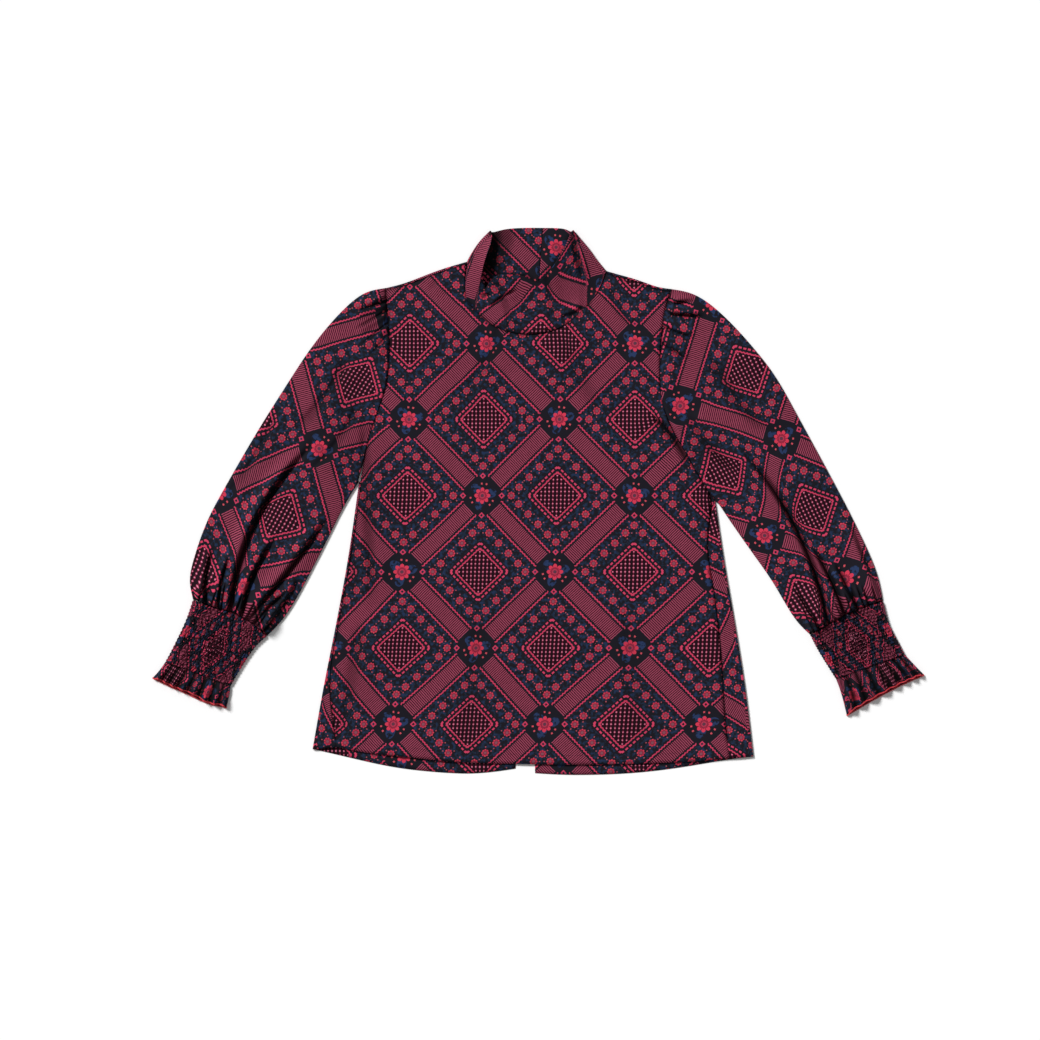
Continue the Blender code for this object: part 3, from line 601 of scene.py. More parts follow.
def slack(point, scale, height):
    """Return the gentle unevenness of cloth that lies without tension."""
    return height * noise.noise(Vector((point.x, point.y, 0.37)) / scale)


# %% [markdown]
# ## Folds that the cloth shows
# Each row of this table is one soft fold, which runs over every panel that it crosses. The
# sleeves are gathered at the cuff and at the head, so most folds start there and fade out.
# The first two rows are the long tucks that run up the middle of the sleeves.

# %% Fold table: start x, y, end x, y, bow, half width, height, cloth hidden in the tuck
DEEP_TUCK = {
    "left": (-0.4065, -0.1400, -0.3060, 0.0700, 0.0200, 0.010, 0.0076, 0.000),
    "right": (0.3705, -0.1640, 0.2640, 0.0580, -0.0170, 0.010, 0.0076, 0.000),
}
FOLDS = list(DEEP_TUCK.values()) + [
    (-0.2165, 0.0900, -0.2060, -0.1350, 0.0000, 0.014, 0.0026, 0.004),
    (-0.2380, 0.0150, -0.2300, -0.1300, 0.0000, 0.012, 0.0022, 0.003),
    (0.1560, 0.1120, 0.2000, 0.0480, 0.0040, 0.009, 0.0050, 0.008),
    (-0.1140, 0.3050, -0.1350, 0.2700, 0.0000, 0.009, 0.0016, 0.003),
    (0.1000, 0.2850, 0.1300, 0.2300, -0.0040, 0.012, 0.0018, 0.004),
    (-0.0400, 0.2150, -0.0900, 0.1300, 0.0060, 0.018, 0.0014, 0.003),
    (0.0450, 0.2200, 0.0950, 0.1200, -0.0060, 0.018, 0.0014, 0.003),
    (-0.2200, -0.1700, -0.2420, -0.3050, 0.0000, 0.018, 0.0022, 0.004),
    (-0.0600, -0.1600, -0.0800, -0.3300, 0.0040, 0.026, 0.0012, 0.000),
    (0.1350, -0.1400, 0.1500, -0.3250, -0.0040, 0.026, 0.0012, 0.000),
    (-0.3900, -0.1440, -0.3480, -0.0480, 0.0060, 0.008, 0.0066, 0.005),
    (-0.3820, -0.1500, -0.2815, -0.0215, -0.0030, 0.009, 0.0064, 0.006),
    (-0.4190, -0.1370, -0.4050, -0.0700, 0.0030, 0.006, 0.0046, 0.004),
    (-0.3740, -0.1560, -0.3300, -0.1150, 0.0020, 0.007, 0.0048, 0.004),
    (-0.4360, -0.1330, -0.4280, -0.0620, 0.0040, 0.007, 0.0046, 0.004),
    (-0.3640, -0.1650, -0.3160, -0.0980, -0.0040, 0.008, 0.0050, 0.005),
    (-0.2420, 0.1750, -0.3080, 0.0850, 0.0060, 0.016, 0.0024, 0.004),
    (-0.2280, 0.1160, -0.2860, 0.0360, 0.0060, 0.014, 0.0024, 0.004),
    (-0.3350, 0.1050, -0.3950, 0.0050, 0.0060, 0.014, 0.0022, 0.004),
    (0.4100, -0.1420, 0.3820, -0.0850, 0.0000, 0.008, 0.0060, 0.005),
    (0.4370, -0.1130, 0.3990, -0.0110, 0.0040, 0.009, 0.0056, 0.006),
    (0.3920, -0.1510, 0.3500, -0.0600, -0.0040, 0.008, 0.0060, 0.005),
    (0.3620, -0.1690, 0.3300, -0.1160, 0.0000, 0.007, 0.0036, 0.004),
    (0.2060, 0.1120, 0.2620, 0.0440, -0.0060, 0.014, 0.0024, 0.004),
    (0.2350, 0.1900, 0.3050, 0.0950, -0.0060, 0.016, 0.0024, 0.004),
    (0.1740, 0.2600, 0.2120, 0.2670, 0.0000, 0.0050, 0.0054, 0.004),
    (0.1690, 0.2470, 0.2120, 0.2440, 0.0000, 0.0055, 0.0050, 0.004),
    (0.1620, 0.2300, 0.2000, 0.2160, 0.0000, 0.0050, 0.0032, 0.004),
    (0.1600, 0.2100, 0.1940, 0.1880, 0.0000, 0.0060, 0.0026, 0.003),
    (-0.1990, 0.2675, -0.2470, 0.2580, 0.0000, 0.0055, 0.0060, 0.004),
    (-0.1965, 0.2560, -0.2380, 0.2430, 0.0000, 0.0050, 0.0046, 0.004),
    (-0.1955, 0.2440, -0.2340, 0.2220, 0.0000, 0.0050, 0.0034, 0.004),
    (-0.1940, 0.2280, -0.2260, 0.2020, 0.0000, 0.0050, 0.0028, 0.003),
    (-0.1935, 0.2110, -0.2160, 0.1860, 0.0000, 0.0060, 0.0024, 0.003),
]
print("folds from the table:", len(FOLDS))

# %% Small gathers where the sleeves go into the cuffs
GATHERS = 13             # gathers along one cuff seam
GATHER = (0.0, 0.0034, 0.0036, 0.003)      # their bow, half width, height and hidden cloth
for key in SIDES:
    join = smooth(CUFF_JOIN[key])
    for k in range(GATHERS):
        foot = join((k + 0.5 + 0.3 * noise.noise(Vector((k, 0.5, 0.5)))) / GATHERS)
        up = normal(join, (k + 0.5) / GATHERS, -INWARD[key])
        reach = 0.024 + 0.022 * abs(noise.noise(Vector((k * 1.7, 3.5, 0.5))))
        FOLDS.append((foot.x, foot.y, foot.x + up.x * reach, foot.y + up.y * reach, *GATHER))
print("folds with the gathers:", len(FOLDS))

# %% What moves the cloth of the panels and sleeves
OVER_CUFF = 0.0044       # how far a sleeve puffs up just above its cuff
AT_HEAD = 0.0026         # and just below the armhole
HANG = 0.0034            # how far it hangs over the cuff
CUFF_SEAM_PAINTED_SHADE = 0.9     # painted shade on a sleeve where the cuff gathers it
HEAD_SEAM_PAINTED_SHADE = 0.5     # and where the armhole does
RIGHT_UNDERARM = Vector((0.2230, 0.0121))      # the sleeve closes up to the body here
UNDERARM_CLOSE = Vector((-0.0018, -0.0014, 0.0))
SLEEVE_RUN = {key: (Vector((*CUFF_JOIN[key][2], 0.0))
                    - Vector((*SLEEVE_OUTER[key][6], 0.0))).normalized() for key in SIDES}


def soft(point, s, v, ease):
    """Move a point of a panel or sleeve by the folds, and a little by slack."""
    height, hidden, shade = fold(point, FOLDS)
    rise = height + slack(point, 0.07, 0.0012) + slack(point, 0.02, 0.0004)
    return Vector((0.0, 0.0, rise * ease)), hidden * ease, shade * ease


def puffed(point, s, v, ease):
    """Move a point of a sleeve like soft(), puff it out over cuff and head, and paint shade at
    both seams.
    """
    move, hidden, shade = soft(point, s, v, ease)
    over_cuff = OVER_CUFF * smoothstep(0.86, 0.96, v) * falling(0.98, 1.0, v)
    at_head = AT_HEAD * smoothstep(0.0, 0.02, v) * falling(0.04, 0.12, v)
    move.z += (over_cuff + at_head) * ease
    hang = HANG * smoothstep(0.92, 0.975, v) * falling(0.985, 1.0, v) * ease
    arm = SLEEVE_RUN["left" if point.x < 0 else "right"]
    shade = max(shade, CUFF_SEAM_PAINTED_SHADE * smoothstep(0.985, 1.0, v),
                HEAD_SEAM_PAINTED_SHADE * falling(0.0, 0.01, v))
    near = falling(0.010, 0.022, (point.xy - RIGHT_UNDERARM).length)
    return move + arm * hang + UNDERARM_CLOSE * near, hidden, shade * ease


# %% [markdown]
# ## Where the print lies
# The print runs straight down the front, and straight down each sleeve. Each piece is cut
# so, and the place of one lozenge of the print fixes the rest.

# %% Print placement
def printed(x, y, turn=0.0, squeeze=1.0):
    """Return place(point): metres on the flat cloth, for a print that is centred at x, y."""
    cos, sin = math.cos(math.radians(turn)), math.sin(math.radians(turn))

    def place(point, s=0.0, v=0.0):
        dx, dy = point.x - x, point.y - y
        return Vector(((dx * cos + dy * sin) * squeeze, dy * cos - dx * sin))

    return place


# The front lies a little askew: column x, then rows of y and how far the print has drifted
PRINT_DRIFT = (
    (-0.17, ((-0.32, -0.021), (-0.19, -0.007), (-0.09, -0.006), (0.01, 0.001), (0.20, 0.003))),
    (0.03, ((-0.32, -0.022), (-0.19, -0.013), (-0.09, -0.006), (0.01, -0.004), (0.20, 0.002))),
    (0.23, ((-0.32, -0.012), (-0.19, 0.000), (-0.09, 0.001), (0.01, 0.001), (0.20, -0.003))),
)


def drifting(place):
    """Return place(point) with the drift of the front's print taken off."""
    def moved(point, s, v):
        columns = [(x, table(rows, point.y)) for x, rows in PRINT_DRIFT]
        return place(point) - Vector((table(columns, point.x), 0.0))

    return moved


TUCK_LINE = 0.7          # where a tuck lies beside its fold, in half widths
# A deep tuck runs up each sleeve, and the cloth on its two sides has moved together there.
# Along the sleeve: how far the cloth has moved across and along, left and right of the tuck
TUCK_MOVE = {
    "left": ((-0.340, 0.037, -0.017, -0.008, -0.003), (-0.297, 0.033, -0.014, -0.007, -0.003),
             (-0.198, 0.006, -0.012, -0.005, -0.002), (-0.099, -0.002, 0.000, -0.004, 0.002),
             (0.0, 0.0, 0.0, 0.0, 0.0)),
    "right": ((-0.340, 0.036, -0.012, -0.008, -0.010), (-0.297, 0.032, -0.011, -0.008, -0.008),
              (-0.198, 0.020, -0.011, -0.008, -0.011), (-0.099, 0.013, -0.010, 0.000, -0.007),
              (0.0, 0.0, -0.008, 0.0, -0.008)),
}


def tucked(key, place):
    """Return place(point) of a sleeve with the cloth moved together at its deep tuck."""
    moves = [[(row[0], row[i]) for row in TUCK_MOVE[key]] for i in range(1, 5)]

    def moved(point, s=0.0, v=0.0):
        spot = place(point)
        along_sleeve = min(max(spot.y, TUCK_MOVE[key][0][0]), 0.0)
        left_x, left_y, right_x, right_y = [table(rows, along_sleeve) for rows in moves]
        t, q, _ = beside(point, DEEP_TUCK[key])
        spread = 0.4 + 5.0 * smoothstep(0.55, 1.1, t)
        side = smoothstep(TUCK_LINE - spread, TUCK_LINE + spread, q)
        return spot - Vector((left_x, left_y)).lerp(Vector((right_x, right_y)), side)

    return moved


def around(edge, side, roll, place):
    """Return the places of the cloth round a folded edge, and of the cloth under it."""
    def over(point, s, v):
        inward = normal(edge, v, side)
        return place(edge(v) + inward * roll * (1 - math.pi * (1 - s)))

    def under(point, s, v):
        inward = normal(edge, v, side)
        deep = (point - edge(v)).dot(inward) - roll
        return place(point - inward * (2 * deep + roll * math.pi))

    return over, under


def everywhere(s, v):
    """Folds act on all of this grid."""
    return 1.0


def nowhere(s, v):
    """Folds leave this grid alone."""
    return 0.0


def between_sides(s, v):
    """Folds die out at the first and last columns, where the cloth turns over an edge."""
    return 0.0 if s in (0.0, 1.0) else 1.0


# %% [markdown]
# ## Front
# The front is one panel up to the neck, and a block on each side of the neck up to the
# shoulder. It lies on the back, so its edges are two folded layers above the table.

# %% Front
def make_front():
    low = 2 * ROLL
    block_rows = NECK_CORNER
    arm_low = 1.0 - block_rows / ARM_STEPS
    turn = NECK_CORNER / NECK_STEPS
    neck = lift(seam(NECK_FRONT, NECK_STEPS, -1), rising(low, NECK_RISE - FRONT_RISE))
    columns = 2 * SHOULDER_COLUMNS + NECK_STEPS - 2 * NECK_CORNER
    rows = SIDE_ROWS + ARM_STEPS - block_rows
    block = SHOULDER_COLUMNS / columns
    place = drifting(printed(0.02795, 0.0081))

    def armhole(key):
        return lift(seam(ARMHOLE[key], ARM_STEPS, INWARD[key]), rising(low, ARMHOLE_RISE))

    def side(key):
        seam_line = lift(seam(SIDE_SEAM[key], SIDE_ROWS, INWARD[key]), low)
        return chain((seam_line, SIDE_ROWS / rows), (part_of(armhole(key), 0.0, arm_low), 1.0))

    def level(key, neck_share):
        ends = armhole(key)(arm_low), neck(neck_share)
        return lambda t: ends[0].lerp(ends[1], t)

    levels = {"left": level("left", turn), "right": level("right", 1.0 - turn)}
    top = chain((levels["left"], block), (part_of(neck, turn, 1.0 - turn), 1.0 - block),
                (flip(levels["right"]), 1.0))
    body = patch(lift(smooth(FRONT_HEM), low), top, side("left"), side("right"), columns)
    parts = [(sheet_grid(body, columns, rows,
                         lambda s, v: FRONT_RISE * arch(s) * min(1.0, 4 * v)),
              place, everywhere, 0.0, 1.0)]
    for key, start, stop in (("left", turn, 0.0), ("right", 1.0 - turn, 1.0)):
        cut = SEAM_INSET + SEAM_GAP
        arm_side = stopped(part_of(armhole(key), arm_low, 1.0), 1.0 - cut / ARM_BLOCK)
        neck_side = stopped(part_of(neck, start, stop), 1.0 - cut / NECK_BLOCK)
        shoulder = inset(smooth(SHOULDER[key]), -INWARD[key], SEAM_INSET + SEAM_GAP / 2)
        surface = patch(levels[key], lift(flip(shoulder), low), arm_side, neck_side,
                        SHOULDER_COLUMNS)
        grid = sheet_grid(surface, SHOULDER_COLUMNS, block_rows,
                          lambda s, v: FRONT_RISE * arch(s * block) * (1 - v * v))
        parts.append((grid, place, everywhere, 0.0, 1.0))
    return cloth("front_cloth", parts, soft)


front_cloth = make_front()


# %% [markdown]
# ## Back
# The back is two halves. Each lies flat on the table, and its side and shoulder edges roll
# over on to the top layer, where they meet the front along the side and shoulder seams.

# %% Back halves
def make_back(key):
    inward = INWARD[key]
    side_edge = smooth(BODY_SIDE[key])
    shoulder_edge = smooth(SHOULDER[key])
    armhole = seam(ARMHOLE[key], ARM_STEPS, inward)
    outer = chain((inset(side_edge, inward, ROLL), SIDE_ROWS / BODY_ROWS), (armhole, 1.0))
    neck = seam(NECK_BACK[key], BACK_NECK_STEPS, -inward)
    columns = BACK_NECK_STEPS + SHOULDER_COLUMNS
    top = flip(chain((flip(inset(shoulder_edge, -inward, ROLL)), SHOULDER_COLUMNS / columns),
                     (flip(neck), 1.0)))
    outer = meeting(outer, outer(0.0), top(1.0), 1 / BODY_ROWS)
    corner = Vector((*CENTRE_NECK, 0.0))
    slit = seam((BACK_HEM[key][0], CENTRE_SLIT), SLIT_ROWS, -inward)
    closed = seam((CENTRE_SLIT, CENTRE_NECK), BODY_ROWS - SLIT_ROWS, -inward)
    centre = chain((slit, SLIT_ROWS / BODY_ROWS), (closed, 1.0))
    centre = meeting(centre, centre(0.0), centre(1.0) + top(0.0) - corner, 1 / BODY_ROWS)
    surface = patch(smooth(BACK_HEM[key]), top, centre, outer, columns)
    place = printed(*BACK_PRINT[key])
    over_side, under_side = around(side_edge, inward, ROLL, place)
    over_top, under_top = around(shoulder_edge, -inward, ROLL, place)

    flap = between(lift(inset(side_edge, inward, ROLL), 2 * ROLL),
                   lift(seam(SIDE_SEAM[key], SIDE_ROWS, -inward), 2 * ROLL), 2, SIDE_ROWS)
    strip = between(lift(inset(shoulder_edge, -inward, ROLL), 2 * ROLL),
                    lift(inset(shoulder_edge, -inward, SEAM_INSET - SEAM_GAP / 2), 2 * ROLL),
                    1, SHOULDER_COLUMNS)
    side_roll = roll_grid(side_edge, inward, ROLL, SIDE_ROWS)
    top_roll = roll_grid(shoulder_edge, -inward, ROLL, SHOULDER_COLUMNS)
    parts = [(sheet_grid(surface, columns, BODY_ROWS), place, nowhere, 0.0, 1.0),
             (side_roll, over_side, nowhere, 0.0, 1.0),
             (top_roll, over_top, nowhere, 0.0, 1.0),
             (flap, under_side, lambda s, v: 1.0 if s else 0.0, 0.0, 1.0),
             (strip, under_top, nowhere, 0.0, 1.0)]
    return cloth("back_cloth_" + key, parts, soft)


BACK_PRINT = {"left": (0.0230, -0.0320), "right": (0.0330, -0.0300)}
back_cloth = {key: make_back(key) for key in SIDES}


# %% [markdown]
# ## Sleeves
# A sleeve is a tube pressed flat: a top layer, an underside, and a rolled fold down each
# side. It is wider than the armhole and the cuff that it is sewn to, so it is gathered there.

# %% A tube pressed flat
def tube(key, upper, lower, edges, roll, place, rows):
    """Return the parts of a tube pressed flat: its two layers, and its outer and inner folds.

    rows are the faces along the outer fold and along the inner one.
    """
    inward = INWARD[key]
    over_outer, under = around(edges[0], -inward, roll, place)
    over_inner, _ = around(edges[1], inward, roll, place)
    return [(upper, place, between_sides, 0.0, 1.0),
            (lower, under, nowhere, 0.0, 1.0),
            (roll_grid(edges[0], -inward, roll, rows[0]), over_outer, nowhere, 0.0, 0.0),
            (roll_grid(edges[1], inward, roll, rows[1]), over_inner, nowhere, 1.0, 1.0)]


# %% Sleeves
def make_sleeve(key):
    inward = INWARD[key]
    outer = smooth(SLEEVE_OUTER[key])
    inner = smooth(SLEEVE_INNER[key])
    armhole = seam(ARMHOLE[key], ARM_STEPS, -inward)
    join = seam(CUFF_JOIN[key], JOIN_STEPS, -inward)
    turn = ARM_CORNER / ARM_STEPS
    fold_rows = SLEEVE_ROWS - 2 * ARM_CORNER
    steps = ARM_STEPS - ARM_CORNER
    arm_height = rising(2 * ROLL, ARMHOLE_RISE)

    def layer(top):
        high = 2 * ROLL if top else 0.0
        arm = lift(armhole, arm_height if top else 0.0)
        head = flip(stopped(part_of(arm, turn, 1.0), 1.0 - ROLL / ARM_HEAD))
        end = lift(join, (lambda t: high + SLEEVE_END * arch(t)) if top else 0.0)
        outside = lift(inset(outer, -inward, ROLL), high)
        inside = lift(inset(inner, inward, ROLL), high)
        under_arm = flip(chain((flip(inside), fold_rows / SLEEVE_ROWS),
                               (part_of(arm, 0.0, turn), 1.0)))
        return patch(head, end, outside, under_arm, steps)

    upper = sheet_grid(layer(True), 4 * steps, SLEEVE_ROWS,
                       lambda s, v: SLEEVE_RISE * arch(s) * arch(v))
    lower = sheet_grid(layer(False), steps, SLEEVE_ROWS)
    place = tucked(key, printed(*SLEEVE_PRINT[key]))
    parts = tube(key, upper, lower, (outer, inner), ROLL, place, (SLEEVE_ROWS, fold_rows))
    return cloth("sleeve_cloth_" + key, parts, puffed)


SLEEVE_PRINT = {"left": (-0.23465, 0.15405, -29.0), "right": (0.26819, 0.17771, 26.9)}
sleeve_cloth = {key: make_sleeve(key) for key in SIDES}


# %% [markdown]
# ## Cuffs
# Rows of elastic thread shirr the cuff, so the cloth stands in small puffs between the rows
# and between the gathers. The puffs of one row sit beside the gaps of the next. Puffs this
# small need many faces: a cuff has more of them than any other piece.

# %% Cuffs
PUFF_COLUMNS = 22        # puffs across a cuff
PUFF_ROWS = 17           # shirring rows down a cuff
PUFF = 0.0036            # height of a puff
PUFF_SPREAD = 0.7        # how much puffs differ in height
SWELL = 0.0020           # slow rise and fall of the whole cuff
SIDE_PUFF = 0.0009       # how far a puff stands out at the cuff's side folds
STRAY = (1.3, 0.45)      # how far the puffs stray across and the rows down, in puffs and rows
CROWD = (0.0014, 0.0012)     # how far a puff pulls the print across and down
CRUMPLE = 0.004          # how far the print strays over the whole cuff
VALLEY_PAINTED_SHADE = 0.7        # painted shade in the valleys between puffs
SHIRR = 2.3              # cloth taken up, as a multiple of the cuff's width


def shirred(key):
    """Return a cuff's form: uneven puffs between sharp rows, cloth crowded in, shade painted
    between puffs.
    """
    outward = Vector((*CUFF_OUTER[key][0], 0.0)) - Vector((*CUFF_INNER[key][0], 0.0))
    outward.normalize()

    def form(point, s, v, ease):
        def uneven(across, down, layer):
            return noise.noise(Vector((s * across, v * down, layer)))

        row = v * PUFF_ROWS + STRAY[1] * uneven(9, 4, 5.5)
        across = s * PUFF_COLUMNS + 0.5 * (int(row) % 2) + STRAY[0] * uneven(8, 9, 1.1)
        size = 0.75 + PUFF_SPREAD * uneven(23, 19, 8.3)
        down = abs(math.sin(math.pi * row))
        puff = abs(math.sin(math.pi * across)) ** 0.7 * down ** 0.5
        sway = Vector((CROWD[0] * math.sin(2 * math.pi * across) + CRUMPLE * uneven(14, 12, 2.0),
                       CROWD[1] * math.sin(2 * math.pi * row) + CRUMPLE * uneven(14, 12, 6.0)))
        side = math.exp(-(s / 0.03) ** 2) - math.exp(-((1 - s) / 0.03) ** 2)
        move = outward * side * SIDE_PUFF * (down - 0.5)
        move.z = (PUFF * puff * size + SWELL * uneven(4, 5, 4.2)) * ease
        return move, sway, VALLEY_PAINTED_SHADE * (1 - puff) ** 1.2 * max(ease, 0.6)

    return form


def sleeve_end(key, start, end, outer, inner, place, columns, rows):
    """Return the parts of a cuff or ruffle, from the line that it starts at to its end."""
    inward = INWARD[key]
    edges = smooth(outer[key]), smooth(inner[key])

    def layer(height):
        return patch(lift(start, height), lift(end, height),
                     lift(inset(edges[0], -inward, CUFF_ROLL), height),
                     lift(inset(edges[1], inward, CUFF_ROLL), height), JOIN_STEPS)

    return tube(key, sheet_grid(layer(2 * CUFF_ROLL), columns, rows),
                sheet_grid(layer(0.0), JOIN_STEPS, rows), edges, CUFF_ROLL, place, (rows, rows))


def make_cuff(key):
    join = seam(CUFF_JOIN[key], JOIN_STEPS, INWARD[key])
    end = seam((CUFF_OUTER[key][-1], CUFF_INNER[key][-1]), JOIN_STEPS, -INWARD[key])
    parts = sleeve_end(key, join, end, CUFF_OUTER, CUFF_INNER, printed(*CUFF_PRINT[key]),
                       CUFF_COLUMNS, CUFF_ROWS)
    return cloth("cuff_cloth_" + key, parts, shirred(key))


CUFF_PRINT = {"left": (-0.4200, -0.1900, -29.7, SHIRR), "right": (0.4150, -0.1850, 26.1, SHIRR)}
cuff_cloth = {key: make_cuff(key) for key in SIDES}


# %% [markdown]
# ## Ruffles
# Below the last row of elastic the cloth is free again and stands in flutes. The free edge
# is overlocked in red. The under layer reaches a little further than the top one.

# %% Ruffles
FLUTES = 8               # waves on the top layer
FLUTE = 0.0060           # their height at the free edge
FLUTE_START = 0.0016     # and where they leave the cuff
FLUTE_LEAN = 0.0016      # how far their sides lean over
FLUTE_SHIFT = {"left": 0.0, "right": 0.4}      # where the first one starts, in waves
FLUTE_CROWD = 0.0042     # how far a flute pulls the print across
FLUTE_PAINTED_SHADE = 1.3         # painted shade between flutes, held at 1 later
RUFFLE_SEAM_PAINTED_SHADE = 0.9   # and where it leaves the cuff
TOP_SHORT = 0.0030       # the top layer stops this short of the under layer


def fluted(key):
    """Return the form of a ruffle: flutes that grow towards its free edge, with shade painted
    between them.
    """
    ends = [Vector((*line[key][-1], 0.0)) for line in (CUFF_OUTER, CUFF_INNER, RUFFLE_OUTER,
                                                       RUFFLE_INNER)]
    back = (ends[0] + ends[1] - ends[2] - ends[3]).normalized()
    across = (ends[1] - ends[0]).normalized()

    def form(point, s, v, ease):
        turn = 2 * math.pi * (FLUTES * s + 0.35 * math.sin(5 * s) + FLUTE_SHIFT[key])
        wave = abs(math.sin(turn / 2)) ** 0.8
        rim = smoothstep(0.0, 0.9, v)
        move = across * FLUTE_LEAN * rim * math.sin(turn)
        move += back * TOP_SHORT * (v * v) * (0.9 + 0.3 * (1 - wave))
        move.z += FLUTE * rim * wave + FLUTE_START * falling(0.0, 0.35, v) * wave
        shade = max(FLUTE_PAINTED_SHADE * (1 - wave) ** 0.75 * (1 - 0.2 * v),
                    RUFFLE_SEAM_PAINTED_SHADE * falling(0.0, 0.1, v))
        pull = Vector((FLUTE_CROWD * rim * math.sin(turn), 0.0))
        return move * ease, pull * ease, shade * ease

    return form


def make_ruffle(key):
    start = seam((CUFF_OUTER[key][-1], CUFF_INNER[key][-1]), JOIN_STEPS, INWARD[key])
    parts = sleeve_end(key, start, smooth(RUFFLE_END[key]), RUFFLE_OUTER, RUFFLE_INNER,
                       printed(*RUFFLE_PRINT[key]), RUFFLE_COLUMNS, RUFFLE_ROWS)
    return cloth("ruffle_cloth_" + key, parts, fluted(key))


RUFFLE_PRINT = {"left": (-0.4720, -0.2230, -29.7, 2.0), "right": (0.4560, -0.2300, 26.1, 2.0)}
ruffle_cloth = {key: make_ruffle(key) for key in SIDES}


# %% [markdown]
# ## Collar
# The collar is one band that stands round the neck and has fallen flat. Its front hangs
# open in a shallow V, its two ends meet behind, and the inside of the back shows in the V.

# %% Collar
COLLAR_FOLDS = [
    (-0.0640, 0.2560, -0.0300, 0.2780, 0.0020, 0.006, 0.0020, 0.002),
    (0.0300, 0.2440, 0.0560, 0.2560, -0.0020, 0.006, 0.0022, 0.002),
    (-0.0500, 0.2900, -0.0300, 0.2250, 0.0030, 0.009, 0.0020, 0.004),
    (0.0160, 0.2950, 0.0240, 0.2300, 0.0020, 0.009, 0.0020, 0.004),
]
# On each side the band folds sharply: a ridge line in plan, from the top edge to the neck
RIDGE = {
    "left": ((-0.0631, 0.3530), (-0.0618, 0.3400), (-0.0708, 0.3114), (-0.0787, 0.2750),
             (-0.0830, 0.2480)),
    "right": ((0.0465, 0.3530), (0.0520, 0.3300), (0.0575, 0.3090), (0.0630, 0.2890)),
}
CREST = 0.0030           # how far the right ridge stands up from the band
HOLLOW = 0.0050          # how deep the band dips just inside it
HOLLOW_WIDTH = 0.012     # and how wide that dip is
HOLLOW_PAINTED_SHADE = 0.8        # painted shade in that dip
BAND_LOWEST = 0.0030     # the front of the band stays this far above the table
NECK_SEAM_PAINTED_SHADE = 0.7     # painted shade on the band where it is sewn on
COLLAR_RIM = [smooth(COLLAR_FRONT_TOP)(t) for t in places(60)]
COLLAR_PRINT = (0.0026, 0.20605)
STRIP_PRINT = {"left": (-0.0111, 0.2877, 27.0), "right": (-0.0025, 0.3179, -28.0)}
STRIP_SHIFT = 0.02       # a print that has moved further than this belongs to a side strip
BAND_TURN = (0.027, 0.63)    # right of this x, the band's print runs down by this slope
BAND_SAG = 0.008         # how far the print sags left of the middle


def from_ridge(point, key):
    """Return how far a point lies inside the ridge, and its share of the ridge's length."""
    rows = RIDGE[key]
    y = min(max(point.y, rows[-1][1]), rows[0][1])
    for (x0, y0), (x1, y1) in zip(rows, rows[1:]):
        if y >= y1:
            x = x0 + (x1 - x0) * (y0 - y) / (y0 - y1)
            return (point.x - x) * -INWARD[key], (rows[0][1] - y) / (rows[0][1] - rows[-1][1])
    return 1.0, 1.0


def inside_painted_shade(point):
    """Return the painted shadow on the inside of the band's back: darkest beside ridges and rim.
    """
    left, right = [from_ridge(point, key)[0] for key in SIDES]
    deep_left = 0.6 * falling(0.022, 0.036, left) + 0.4 * falling(0.008, 0.020, left)
    deep_right = 0.6 * falling(0.004, 0.012, right)
    below_rim = min((point.xy - rim.xy).length for rim in COLLAR_RIM)
    return max(deep_left * smoothstep(-0.004, 0.0, left),
               deep_right * smoothstep(-0.004, 0.0, right), 0.75 * falling(0.0, 0.008, below_rim))


def draped(point, s, v, ease):
    """Move a point of the collar by its folds, turn the print on its side strips, and paint shade.
    """
    # the inside of the back does not move; it takes only the painted shadow of the ridges and rim
    if ease == 0.0:
        return Vector((0.0, 0.0, 0.0)), Vector((0.0, 0.0)), inside_painted_shade(point)
    height, hidden, shade = fold(point, COLLAR_FOLDS)
    height += slack(point, 0.03, 0.0010)
    place = printed(*COLLAR_PRINT)(point)
    for key in SIDES:
        away, share = from_ridge(point, key)
        if away < 0.0005:
            hidden = printed(*STRIP_PRINT[key])(point) - place
    # away and share are now those of the right ridge, the one that has a crest and a hollow
    fade = falling(0.80, 1.05, share)
    dip = smoothstep(0.0, 0.0025, away) * falling(0.35, 1.0, away / HOLLOW_WIDTH)
    height += (CREST * math.exp(-(away / 0.004) ** 2) - HOLLOW * dip) * fade
    if hidden.length < STRIP_SHIFT and point.x > BAND_TURN[0]:
        hidden.y -= BAND_TURN[1] * (point.x - BAND_TURN[0]) * smoothstep(0.226, 0.256, point.y)
    if hidden.length < STRIP_SHIFT:
        sag = smoothstep(-0.075, -0.045, point.x) * falling(-0.030, -0.005, point.x)
        hidden.y += BAND_SAG * sag * smoothstep(0.235, 0.262, point.y)
    rise = max(height * ease, BAND_LOWEST - point.z)
    shade = max(shade, HOLLOW_PAINTED_SHADE * dip * fade, NECK_SEAM_PAINTED_SHADE * falling(0.0, 0.05, v) * ease)
    return Vector((0.0, 0.0, rise)), hidden, shade


